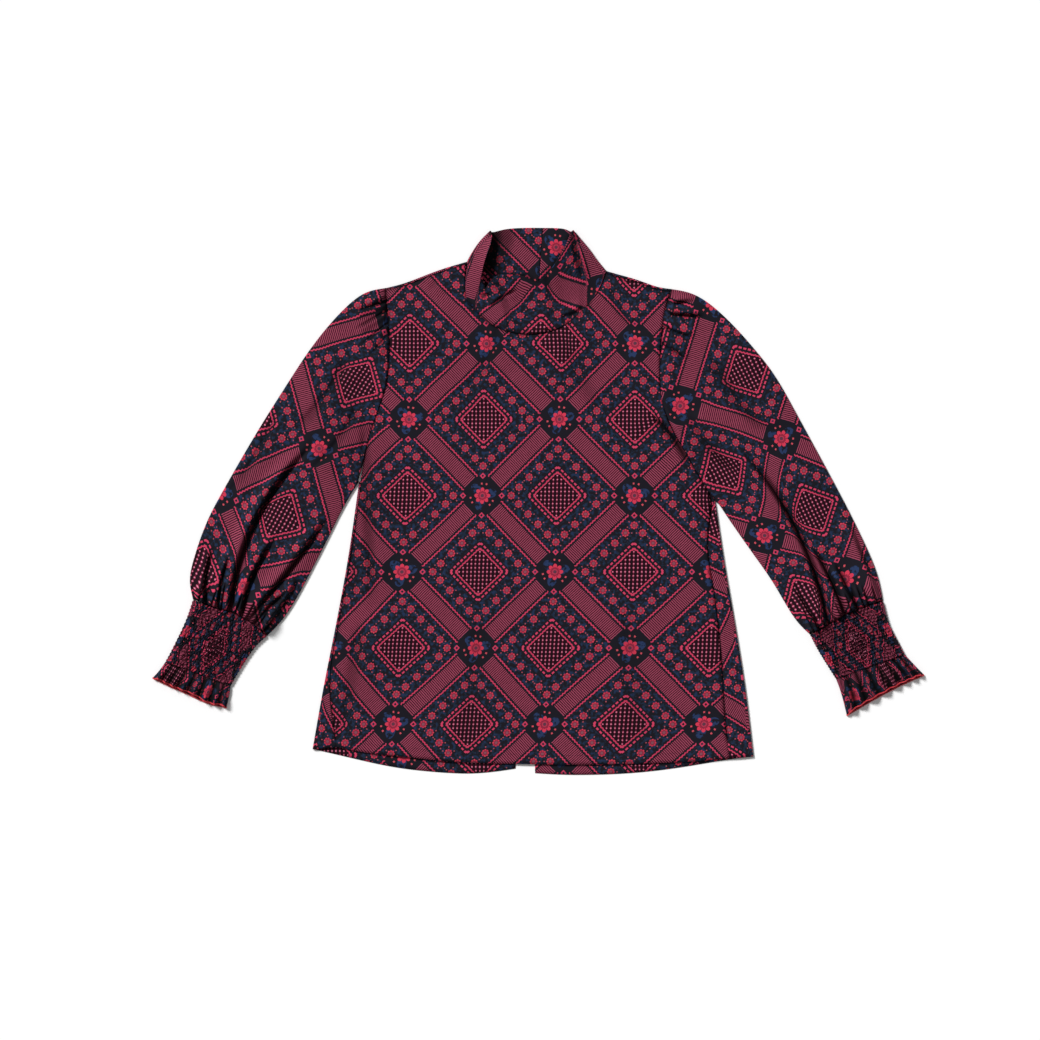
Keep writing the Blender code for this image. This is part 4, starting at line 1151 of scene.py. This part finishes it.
def make_collar():
    fold_rows = COLLAR_ROWS - NECK_CORNER
    turn = NECK_CORNER / NECK_STEPS
    neck = lift(seam(NECK_FRONT, NECK_STEPS, 1), rising(2 * ROLL, NECK_RISE))

    def roll(t):
        return ROLL + (COLLAR_ROLL - ROLL) * t

    edges = {key: smooth(COLLAR_SIDE[key]) for key in SIDES}
    fronts = []
    for key, start, stop in (("left", 0.0, turn), ("right", 1.0, 1.0 - turn)):
        edge_line = lift(inset(edges[key], INWARD[key], roll), lambda t: 2 * roll(t))
        fronts.append(flip(chain((flip(edge_line), fold_rows / COLLAR_ROWS),
                                 (part_of(neck, start, stop), 1.0))))
    top = lift(smooth(COLLAR_FRONT_TOP), lambda t: table(COLLAR_TOP_HEIGHT, t))
    steps = NECK_STEPS - 2 * NECK_CORNER
    face = patch(part_of(neck, turn, 1.0 - turn), top, *fronts, steps)
    place = printed(*COLLAR_PRINT)
    parts = [(sheet_grid(face, 2 * steps, COLLAR_ROWS, rounds=2), place, between_sides, 0.0, 1.0)]
    corner = Vector((*CENTRE_NECK, 0.0))
    for key in SIDES:
        inward = INWARD[key]
        back_neck = seam(NECK_BACK[key], BACK_NECK_STEPS, inward)
        centre = seam((CENTRE_NECK, COLLAR_BACK_TOP[key][0]), fold_rows, -inward)
        centre = meeting(centre, centre(0.0) + back_neck(0.0) - corner, centre(1.0), 1 / fold_rows)
        behind = patch(back_neck, smooth(COLLAR_BACK_TOP[key]), centre,
                       inset(edges[key], inward, roll), BACK_NECK_STEPS)
        over, _ = around(edges[key], inward, COLLAR_ROLL, printed(*STRIP_PRINT[key]))
        parts.append((sheet_grid(behind, BACK_NECK_STEPS, fold_rows),
                      printed(*COLLAR_BACK_PRINT[key]), nowhere, 0.0, 1.0))
        parts.append((roll_grid(edges[key], inward, roll, fold_rows), over, nowhere, 0.0, 1.0))
    return cloth("collar_cloth", parts, draped, dips=False)


COLLAR_BACK_PRINT = {"left": (-0.0874, 0.2912), "right": (-0.0755, 0.3309)}
collar_cloth = make_collar()


# %% [markdown]
# ## The printed cloth
# The cloth is a light plain weave with a printed lattice: lozenges of dots in a ribbed
# frame, with a flower where the frames cross. All of it is worked out in the shader from
# the place on the flat cloth, so it has its real size and follows the cloth round folds.
# One table of sums gives the distances, and one table of layers gives the colours.

# %% Colours and nodes
def linear(code):
    """Turn an sRGB hex colour into the linear one that the shaders take."""
    parts = [int(code[i:i + 2], 16) / 255 for i in (1, 3, 5)]
    return (*[c / 12.92 if c <= 0.04045 else ((c + 0.055) / 1.055) ** 2.4 for c in parts], 1.0)


def add(tree, kind, settings, inputs):
    """Add a node: its settings by name, its inputs by socket name or number."""
    node = tree.nodes.new(kind)
    for key, value in settings.items():
        setattr(node, key, value)
    for key, value in inputs.items():
        if isinstance(value, bpy.types.NodeSocket):
            tree.links.new(value, node.inputs[key])
        else:
            node.inputs[key].default_value = value
    return node


# %% Sums of the print: result, operation, first, second, third
REPEAT_X = 0.1976        # one repeat across, in metres
REPEAT_Y = 0.1980        # one repeat down


def square_sum(result, x, y):
    """Return the rows that give the square of a distance from its two parts."""
    return ((result + " xx", "MULTIPLY", x, x),
            (result + " far", "MULTIPLY_ADD", y, y, result + " xx"))


def flower(name, x, y, grow, least, cut):
    """Return the rows of a flower of eight petals, with thin cuts between them."""
    rows = (("angle", "ARCTAN2", y, x), ("turn", "MULTIPLY", "angle", 4.0),
            ("cosine", "COSINE", "turn"), ("wave", "ABSOLUTE", "cosine"),
            ("edge", "MULTIPLY_ADD", "wave", grow, least), ("flower", "LESS_THAN", "r", "edge"),
            ("cut turn", "LESS_THAN", "wave", cut), ("cut", "MULTIPLY", "flower", "cut turn"))
    own = {row[0] for row in rows} | {"r"}
    return [(name + " " + row[0], row[1], *[name + " " + term if term in own else term
                                            for term in row[2:]]) for row in rows]


PRINT_SUMS = (
    ("across", "DIVIDE", "x", REPEAT_X),
    ("down", "DIVIDE", "y", REPEAT_Y),
    ("a", "ADD", "across", "down"),
    ("b", "SUBTRACT", "across", "down"),
    ("A", "PINGPONG", "a", 0.5),
    ("B", "PINGPONG", "b", 0.5),
    ("out", "MAXIMUM", "A", "B"),
    ("in", "MINIMUM", "A", "B"),
    ("rounded", "SMOOTH_MAX", "A", "B", 0.05),
    # frame: a ribbed bar between two lines
    ("bar wide", "GREATER_THAN", "out", 0.433),
    ("bar long", "LESS_THAN", "in", 0.326),
    ("bar", "MULTIPLY", "bar wide", "bar long"),
    ("rib turn", "MULTIPLY", "in", 2 * math.pi * 56),
    ("rib wave", "COSINE", "rib turn"),
    ("rib light", "GREATER_THAN", "rib wave", 0.0),
    ("ribs", "MULTIPLY", "bar", "rib light"),
    ("cord turn", "MULTIPLY", "in", 2 * math.pi * 32),
    ("cord wave", "SINE", "cord turn"),
    ("line twist", "MULTIPLY_ADD", "cord wave", 0.0036, "out"),
    ("line near", "COMPARE", "line twist", 0.408, 0.0064),
    ("line long", "LESS_THAN", "in", 0.337),
    ("line", "MULTIPLY", "line near", "line long"),
    # open squares at the corners of the frame
    ("square a", "SUBTRACT", "out", 0.37),
    ("square b", "SUBTRACT", "in", 0.37),
    ("square c", "ABSOLUTE", "square a"),
    ("square d", "ABSOLUTE", "square b"),
    ("square e", "MAXIMUM", "square c", "square d"),
    ("square", "COMPARE", "square e", 0.0151, 0.0056),
    # lozenge: a dashed rope, a line and a field of linked dots
    ("rope near", "COMPARE", "rounded", 0.193, 0.0080),
    ("rope turn", "MULTIPLY", "in", 2 * math.pi * 23),
    ("rope wave", "COSINE", "rope turn"),
    ("rope dash", "GREATER_THAN", "rope wave", -0.35),
    ("rope", "MULTIPLY", "rope near", "rope dash"),
    ("edge twist", "MULTIPLY_ADD", "cord wave", 0.0028, "rounded"),
    ("edge", "COMPARE", "edge twist", 0.158, 0.0064),
    ("dots x", "MULTIPLY", "across", 38.0),
    ("dots y", "MULTIPLY", "down", 38.0),
    ("dot x", "PINGPONG", "dots x", 0.5),
    ("dot y", "PINGPONG", "dots y", 0.5),
    *square_sum("dot", "dot x", "dot y"),
    ("dot any", "LESS_THAN", "dot far", 0.055),
    ("dot mid", "LESS_THAN", "dot far", 0.020),
    ("link any", "LESS_THAN", "dot x", 0.13),
    ("field", "LESS_THAN", "out", 0.15),
    ("inner field", "LESS_THAN", "out", 0.138),
    ("dot", "MULTIPLY", "dot any", "inner field"),
    ("dot eye", "MULTIPLY", "dot mid", "inner field"),
    ("links", "MULTIPLY", "link any", "inner field"),
    # leaves, dark and mottled, in the band of small flowers and round the large one
    ("leafy", "GREATER_THAN", "mottle", 0.50),
    ("leafy blue", "GREATER_THAN", "mottle", 0.60),
    ("band outer", "LESS_THAN", "out", 0.392),
    ("band inner", "GREATER_THAN", "rounded", 0.214),
    ("band", "MULTIPLY", "band outer", "band inner"),
    ("leaves", "MULTIPLY", "band", "leafy"),
    ("blue leaves", "MULTIPLY", "band", "leafy blue"),
    # small rosettes round the lozenge: along its sides, and one at each corner
    ("side x", "SUBTRACT", "out", 0.31),
    ("side m", "SUBTRACT", "in", 0.1335),
    ("side n", "ABSOLUTE", "side m"),
    ("side y", "SUBTRACT", "side n", 0.0665),
    *square_sum("side", "side x", "side y"),
    ("corner x", "SUBTRACT", "out", 0.305),
    ("corner y", "SUBTRACT", "in", 0.305),
    *square_sum("corner", "corner x", "corner y"),
    ("at corner", "LESS_THAN", "corner far", "side far"),
    ("y gap", "SUBTRACT", "corner y", "side y"),
    ("small x", "MULTIPLY_ADD", "at corner", 0.005, "side x"),
    ("small y", "MULTIPLY_ADD", "at corner", "y gap", "side y"),
    ("small ff", "MINIMUM", "corner far", "side far"),
    ("small r", "SQRT", "small ff"),
    *flower("small", "small x", "small y", 0.0085, 0.0280, 0.28),
    ("small ring", "LESS_THAN", "small r", 0.0215),
    ("small eye", "LESS_THAN", "small r", 0.0135),
    ("small lit", "MULTIPLY", "small flower", "leafy"),
    ("small four", "MULTIPLY_ADD", "small angle", 5.0, 0.8),
    ("small dot wave", "COSINE", "small four"),
    ("small dot turn", "GREATER_THAN", "small dot wave", 0.90),
    ("small dot near", "COMPARE", "small r", 0.056, 0.0060),
    ("small dot", "MULTIPLY", "small dot turn", "small dot near"),
    # large flower where four bars meet
    ("big x", "SUBTRACT", 0.5, "A"),
    ("big y", "SUBTRACT", 0.5, "B"),
    *square_sum("big", "big x", "big y"),
    ("big r", "SQRT", "big far"),
    ("a turn", "WRAP", "a", 1.0, 0.0),
    ("b turn", "WRAP", "b", 1.0, 0.0),
    ("a side", "SUBTRACT", "a turn", 0.5),
    ("b side", "SUBTRACT", "b turn", 0.5),
    *flower("big", "a side", "b side", 0.0230, 0.0530, 0.25),
    ("big inner edge", "MULTIPLY_ADD", "big wave", 0.0150, 0.0300),
    ("big inner", "LESS_THAN", "big r", "big inner edge"),
    ("big heart", "LESS_THAN", "big r", 0.0260),
    ("big eye", "LESS_THAN", "big r", 0.0160),
    ("leaf angle", "MULTIPLY", "big angle", 3.0),
    ("leaf wave", "SINE", "leaf angle"),
    ("leaf edge", "MULTIPLY_ADD", "leaf wave", 0.0550, 0.0850),
    ("big near", "LESS_THAN", "big r", "leaf edge"),
    ("leaf big", "GREATER_THAN", "mottle", 0.44),
    ("big leaves", "MULTIPLY", "big near", "leaf big"),
    ("leaf pale", "MULTIPLY", "big near", "leafy"),
    ("bud angle", "MULTIPLY_ADD", "big angle", 15.0, 0.4),
    ("bud wave", "COSINE", "bud angle"),
    ("bud turn", "GREATER_THAN", "bud wave", 0.45),
    ("bud near", "COMPARE", "big r", 0.112, 0.0085),
    ("bud any", "MULTIPLY", "bud turn", "bud near"),
    ("bud side", "LESS_THAN", "leaf wave", -0.35),
    ("bud", "MULTIPLY", "bud any", "bud side"),
)
print("sums:", len(PRINT_SUMS))

# %% Layers of the print, from the ground up: cover, colour
GROUND = "#18161e"
PRINT_LAYERS = (
    ("leaves", "#1b2536"),
    ("blue leaves", "#1f2d4a"),
    ("small dot", "#a04a56"),
    ("small flower", "#c23a4e"),
    ("small lit", "#b02c44"),
    ("small cut", "#6c182a"),
    ("small ring", "#7c2438"),
    ("small eye", "#7c4654"),
    ("big leaves", "#1a2640"),
    ("leaf pale", "#253456"),
    ("bud", "#c04a56"),
    ("big flower", "#c6364e"),
    ("big cut", "#74182a"),
    ("big inner", "#84243a"),
    ("big heart", "#a8344a"),
    ("big eye", "#5a3040"),
    ("bar", "#2e0612"),
    ("ribs", "#954158"),
    ("line", "#bd3857"),
    ("square", "#bd3857"),
    ("field", "#1c0812"),
    ("links", "#561226"),
    ("dot", "#a03e5a"),
    ("dot eye", "#cc7c94"),
    ("rope", "#c43c5c"),
    ("edge", "#bd3857"),
)
print("layers:", len(PRINT_LAYERS))


# %% The cloth material
PAINTED_SHADE_STRENGTH = 0.93         # how far the painted shade of tucks, valleys, seams and the hollow darkens the cloth
PRINT_STRAY = 0.0009     # how far the print's edges stray, as ink does in a weave
GRAIN = 260.0            # fineness of that straying
MOTTLE = 210.0           # fineness of the leaves
WEAVE = 900.0            # fineness of the weave
WEAVE_DEPTH = 0.0004     # its depth


def printed_cloth(name, rough):
    """Return the printed plain weave, a matt cloth with a faint sheen, darkened by painted shade.
    """
    material = bpy.data.materials.new(name)
    material.use_nodes = True
    tree = material.node_tree
    shader = tree.nodes["Principled BSDF"]
    cloth_map = add(tree, "ShaderNodeUVMap", {"uv_map": "cloth"}, {})
    grain = add(tree, "ShaderNodeTexNoise", {}, {"Vector": cloth_map.outputs["UV"],
                                                "Scale": GRAIN, "Detail": 1.0})
    shift = add(tree, "ShaderNodeVectorMath", {"operation": "MULTIPLY_ADD"},
                {0: grain.outputs["Color"], 1: (PRINT_STRAY, PRINT_STRAY, 0.0),
                 2: cloth_map.outputs["UV"]})
    parts = add(tree, "ShaderNodeSeparateXYZ", {}, {"Vector": shift.outputs["Vector"]})
    mottle = add(tree, "ShaderNodeTexNoise", {}, {"Vector": cloth_map.outputs["UV"],
                                                 "Scale": MOTTLE, "Detail": 2.0})
    values = {"x": parts.outputs["X"], "y": parts.outputs["Y"], "mottle": mottle.outputs["Fac"]}
    for result, operation, *terms in PRINT_SUMS:
        inputs = {i: values.get(term, term) for i, term in enumerate(terms)}
        values[result] = add(tree, "ShaderNodeMath", {"operation": operation},
                             inputs).outputs["Value"]
    colour = linear(GROUND)
    for cover, code in PRINT_LAYERS:
        mixed = add(tree, "ShaderNodeMix", {"data_type": "RGBA"},
                    {0: values[cover], 6: colour, 7: linear(code)})
        colour = mixed.outputs[2]
    # Painted shade: the "dark" value mixes the print towards black
    dark = add(tree, "ShaderNodeAttribute", {"attribute_name": "dark"}, {})
    depth = add(tree, "ShaderNodeMath", {"operation": "MULTIPLY"},
                {0: dark.outputs["Fac"], 1: PAINTED_SHADE_STRENGTH})
    shaded = add(tree, "ShaderNodeMix", {"data_type": "RGBA"},
                 {0: depth.outputs["Value"], 6: colour, 7: (0.0, 0.0, 0.0, 1.0)})
    tree.links.new(shaded.outputs[2], shader.inputs["Base Color"])
    weave = add(tree, "ShaderNodeTexNoise", {}, {"Vector": cloth_map.outputs["UV"],
                                                "Scale": WEAVE, "Detail": 2.0})
    bump = add(tree, "ShaderNodeBump", {}, {"Strength": 0.25, "Distance": WEAVE_DEPTH,
                                            "Height": weave.outputs["Fac"]})
    tree.links.new(bump.outputs["Normal"], shader.inputs["Normal"])
    shader.inputs["Roughness"].default_value = rough
    shader.inputs["Specular IOR Level"].default_value = 0.08
    return material


# The flat panels: dark and matt, so the eye goes to the print and the long soft folds
printed_weave = printed_cloth("printed_plain_weave", 0.78)
# The cuffs: a little more matt, as small puffs scatter the light
shirred_weave = printed_cloth("shirred_plain_weave", 0.82)
# The ruffles: between the two, with flutes that still catch the light along their tops
ruffle_weave = printed_cloth("ruffle_plain_weave", 0.80)
print("nodes in the cloth's material:", len(printed_weave.node_tree.nodes))

# %% Threads
def thread(name, code, rough):
    """Return a plain spun thread: a matt colour that varies a little along it."""
    material = bpy.data.materials.new(name)
    material.use_nodes = True
    tree = material.node_tree
    shader = tree.nodes["Principled BSDF"]
    where = add(tree, "ShaderNodeTexCoord", {}, {})
    twist = add(tree, "ShaderNodeTexNoise", {}, {"Vector": where.outputs["Object"],
                                                "Scale": WEAVE, "Detail": 1.0})
    tone = add(tree, "ShaderNodeMix", {"data_type": "RGBA"},
               {0: twist.outputs["Fac"], 6: tuple(0.6 * c for c in linear(code)[:3]) + (1.0,),
                7: linear(code)})
    tree.links.new(tone.outputs[2], shader.inputs["Base Color"])
    shader.inputs["Roughness"].default_value = rough
    shader.inputs["Specular IOR Level"].default_value = 0.2
    return material


# A bright red line that sets off the free edge of the ruffles
overlock_thread = thread("spun_polyester_overlock_thread", "#d8404a", 0.7)
# Dark dashes that draw the rows in the valleys of the cuffs
elastic_thread = thread("elastic_shirring_thread", "#3a1420", 0.8)
# Near the colour of the ground, so the hem shows only as a faint row of stitches
hem_thread = thread("spun_polyester_sewing_thread", "#2a1520", 0.7)
print("threads:", overlock_thread.name, elastic_thread.name, hem_thread.name)

# %% [markdown]
# ## Thread work
# A stitch is a short length of thread that repeats along a line. Geometry Nodes suit this:
# a line is cut into equal steps, and one small stitch is set down at each step, turned to
# follow the line. The overlock is the same, with its stitches set across the edge.

# %% Stitches along a line
def stitch_tree(name):
    """Build the node tree: resample a line and set a stitch at each point of it."""
    tree = bpy.data.node_groups.new(name, "GeometryNodeTree")
    face = tree.interface
    face.new_socket("Line", in_out="INPUT", socket_type="NodeSocketGeometry")
    for label, start in (("Spacing", 0.003), ("Length", 0.002), ("Width", 0.0004), ("Lean", 0.0),
                         ("Unevenness", 0.1)):
        face.new_socket(label, in_out="INPUT", socket_type="NodeSocketFloat").default_value = start
    face.new_socket("Thread", in_out="INPUT", socket_type="NodeSocketMaterial")
    face.new_socket("Stitches", in_out="OUTPUT", socket_type="NodeSocketGeometry")
    given = tree.nodes.new("NodeGroupInput").outputs
    curve = add(tree, "GeometryNodeMeshToCurve", {}, {"Mesh": given["Line"]})
    steps = add(tree, "GeometryNodeResampleCurve", {"mode": "LENGTH"},
                {"Curve": curve.outputs["Curve"], "Length": given["Spacing"]})
    tangent = add(tree, "GeometryNodeInputTangent", {}, {})
    turned = add(tree, "FunctionNodeAlignRotationToVector", {"axis": "X", "pivot_axis": "Z"},
                 {"Vector": tangent.outputs["Tangent"]})
    ball = add(tree, "GeometryNodeMeshUVSphere", {}, {"Segments": 6, "Rings": 4, "Radius": 0.5})
    size = add(tree, "ShaderNodeCombineXYZ", {}, {"X": given["Length"], "Y": given["Width"],
                                                 "Z": given["Width"]})
    lean = add(tree, "ShaderNodeCombineXYZ", {}, {"Z": given["Lean"]})
    stitch = add(tree, "GeometryNodeTransform", {}, {"Geometry": ball.outputs["Mesh"],
                                                    "Rotation": lean.outputs["Vector"],
                                                    "Scale": size.outputs["Vector"]})
    least = add(tree, "ShaderNodeMath", {"operation": "SUBTRACT"}, {0: 1.0,
                                                                   1: given["Unevenness"]})
    uneven = add(tree, "FunctionNodeRandomValue", {"data_type": "FLOAT"},
                 {2: least.outputs["Value"], 3: 1.0, "Seed": 7})
    placed = add(tree, "GeometryNodeInstanceOnPoints", {},
                 {"Points": steps.outputs["Curve"], "Instance": stitch.outputs["Geometry"],
                  "Rotation": turned.outputs["Rotation"], "Scale": uneven.outputs[1]})
    real = add(tree, "GeometryNodeRealizeInstances", {}, {"Geometry": placed.outputs["Instances"]})
    done = add(tree, "GeometryNodeSetMaterial", {}, {"Geometry": real.outputs["Geometry"],
                                                    "Material": given["Thread"]})
    result = tree.nodes.new("NodeGroupOutput")
    tree.links.new(done.outputs["Geometry"], result.inputs["Stitches"])
    return tree


STITCHES = stitch_tree("stitches_along_a_line")


def stitched(name, edges, **inputs):
    """Make one piece of thread work on a set of edges, each a pair of points."""
    mesh = bpy.data.meshes.new(name)
    mesh.from_pydata([p for edge in edges for p in edge], [(2 * i, 2 * i + 1)
                                                          for i in range(len(edges))], [])
    shape = bmesh.new()
    shape.from_mesh(mesh)
    bmesh.ops.remove_doubles(shape, verts=shape.verts, dist=MERGE)
    shape.to_mesh(mesh)
    shape.free()
    piece = bpy.data.objects.new(name, mesh)
    bpy.context.scene.collection.objects.link(piece)
    work = piece.modifiers.new("Stitches", "NODES")
    work.node_group = STITCHES
    for item in STITCHES.interface.items_tree:
        if item.in_out == "INPUT" and item.name in inputs:
            work[item.identifier] = inputs[item.name]
    applied(piece)
    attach(piece, "root")
    print(name, len(piece.data.polygons), "faces")
    return piece


ABOVE = 0.1              # a line is dropped on to the cloth from this height
LEAP = 0.01              # a line is broken where two of its points are further apart


def laid_on(points, piece, clear):
    """Return the edges of a line laid on top of a piece, from points in plan."""
    tree = BVHTree.FromObject(piece, bpy.context.evaluated_depsgraph_get())
    hits = [tree.ray_cast(Vector((p.x, p.y, ABOVE)), Vector((0, 0, -1)))[0] for p in points]
    hits = [p + Vector((0, 0, clear)) for p in hits if p]
    return [pair for pair in zip(hits, hits[1:]) if (pair[0] - pair[1]).length < LEAP]


# %% Overlock, shirring and hem
OVERLOCK_WIDTH = 0.0032  # how far the overlock reaches across the edge
OVERLOCK_LOWEST = 0.0010     # its middle line stays this far above the table
THREAD_CLEAR = 0.0001    # the overlock and the elastic lie this far above the cloth
HEM_CLEAR = 0.00005      # and the hem's stitches this far
SHIRR_POINTS = 120       # straight steps of one line of elastic
HEM_POINTS = 400         # straight steps of the hem's line
overlock = {}
shirring = {}
for key in SIDES:
    rim = [(a, b) for a, b, v in FREE_EDGES["ruffle_cloth_" + key] if v > 0.99]
    for point in [p for pair in rim for p in pair]:
        point.z = max(point.z + THREAD_CLEAR, OVERLOCK_LOWEST)
    overlock[key] = stitched("overlock_" + key, rim, Spacing=0.0010, Length=OVERLOCK_WIDTH,
                             Width=0.0012, Lean=math.radians(78), Unevenness=0.3,
                             Thread=overlock_thread)
    outer, inner = smooth(CUFF_OUTER[key]), smooth(CUFF_INNER[key])
    rows = []
    for row in range(1, PUFF_ROWS):
        a, b = outer(row / PUFF_ROWS), inner(row / PUFF_ROWS)
        line = [a.lerp(b, 0.03 + 0.94 * t) for t in places(SHIRR_POINTS)]
        rows += laid_on(line, cuff_cloth[key], THREAD_CLEAR)
    shirring[key] = stitched("shirring_" + key, rows, Spacing=0.0030, Length=0.0021,
                             Width=0.00035, Lean=0.0, Unevenness=0.2, Thread=elastic_thread)

HEM_DEPTH = 0.012        # the hem stitches run this far above the edge
front_hem = smooth(FRONT_HEM)
hem_line = [front_hem(0.01 + 0.98 * t) + Vector((0.0, HEM_DEPTH, 0.0))
            for t in places(HEM_POINTS)]
hem = stitched("front_hem_stitches", laid_on(hem_line, front_cloth, HEM_CLEAR), Spacing=0.0030,
               Length=0.0022, Width=0.0004, Lean=0.0, Unevenness=0.1, Thread=hem_thread)

# %% [markdown]
# ## Finish of each shell
# Each shell takes its finish, and its solid, which stays in the physics model, is hidden.
# The table also lists the size of each cloth: what shows and, on a tube, all the way round.

# %% Finish and cut of each piece
FINISH = {"printed_cloth": printed_weave, "shirred_cloth": shirred_weave,
          "ruffle_cloth": ruffle_weave}
# node, slot, piece, flat width, flat length, cut area in square metres, rests on, thread work
CUT = (
    ("front", "printed_cloth", front_cloth, 0.56, 0.66, 0.276,
     ("back_cloth_left", "back_cloth_right"), (hem,)),
    ("back_left", "printed_cloth", back_cloth["left"], 0.33, 0.67, 0.153, ("floor",), ()),
    ("back_right", "printed_cloth", back_cloth["right"], 0.33, 0.67, 0.156, ("floor",), ()),
    ("collar", "printed_cloth", collar_cloth, 0.36, 0.13, 0.028, ("floor",), ()),
    ("sleeve_left", "printed_cloth", sleeve_cloth["left"], 0.40, 0.50, 0.128, ("floor",), ()),
    ("sleeve_right", "printed_cloth", sleeve_cloth["right"], 0.40, 0.50, 0.130, ("floor",), ()),
    ("cuff_left", "shirred_cloth", cuff_cloth["left"], 0.22, 0.12, 0.022, ("floor",),
     (shirring["left"],)),
    ("cuff_right", "shirred_cloth", cuff_cloth["right"], 0.22, 0.12, 0.021, ("floor",),
     (shirring["right"],)),
    ("ruffle_left", "ruffle_cloth", ruffle_cloth["left"], 0.24, 0.04, 0.007, ("floor",),
     (overlock["left"],)),
    ("ruffle_right", "ruffle_cloth", ruffle_cloth["right"], 0.24, 0.05, 0.009, ("floor",),
     (overlock["right"],)),
)

# %% [markdown]
# ## Table, light and camera
# The blouse was photographed from straight above on a white ground, with a soft light from
# the upper left. A long lens keeps the view nearly parallel.

# %% Floor
bpy.ops.mesh.primitive_plane_add(size=8.0, location=(0.0, 0.0, -0.0002))
floor = bpy.context.object
floor.name = "floor"
# White paper: plain and matt, so that the outline of the blouse stands clear
white = bpy.data.materials.new("white_studio_paper")
white.use_nodes = True
white.node_tree.nodes["Principled BSDF"].inputs["Base Color"].default_value = linear("#f8f8f8")
white.node_tree.nodes["Principled BSDF"].inputs["Roughness"].default_value = 0.9
floor.data.materials.append(white)
print("floor", floor.dimensions.x, "m wide")

# %% Give each shell its finish, and hide its solid
for node, slot, piece, width, length, area, carriers, thread_work in CUT:
    piece.data.materials.clear()
    piece.data.materials.append(FINISH[slot])
    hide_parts(node)
    for item in (piece, *thread_work):
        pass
    list(thread_work)
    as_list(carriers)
print("sheets:", len(CUT))

# %% Light and camera
world = bpy.data.worlds.new("pale_room")
bpy.context.scene.world = world
world.use_nodes = True
world.node_tree.nodes["Background"].inputs["Color"].default_value = (1.0, 1.0, 1.0, 1.0)
world.node_tree.nodes["Background"].inputs["Strength"].default_value = 0.30
key_light = bpy.data.lights.new("window", "SUN")
key_light.energy = 3.8
key_light.angle = math.radians(16)
key = bpy.data.objects.new("window", key_light)
bpy.context.scene.collection.objects.link(key)
key.rotation_euler = (math.radians(-32), math.radians(-40), 0.0)

FRAME = 1.352            # width of the picture on the table, in metres
DISTANCE = 6.0           # camera above the table
lens = bpy.data.cameras.new("camera")
lens.sensor_width = 36.0
lens.lens = 36.0 * DISTANCE / FRAME
camera = bpy.data.objects.new("camera", lens)
camera.location = (-0.02405, -0.02405, DISTANCE)
bpy.context.scene.collection.objects.link(camera)
bpy.context.scene.camera = camera
bpy.context.scene.view_settings.view_transform = "Standard"
print("camera", DISTANCE, "m above the table")
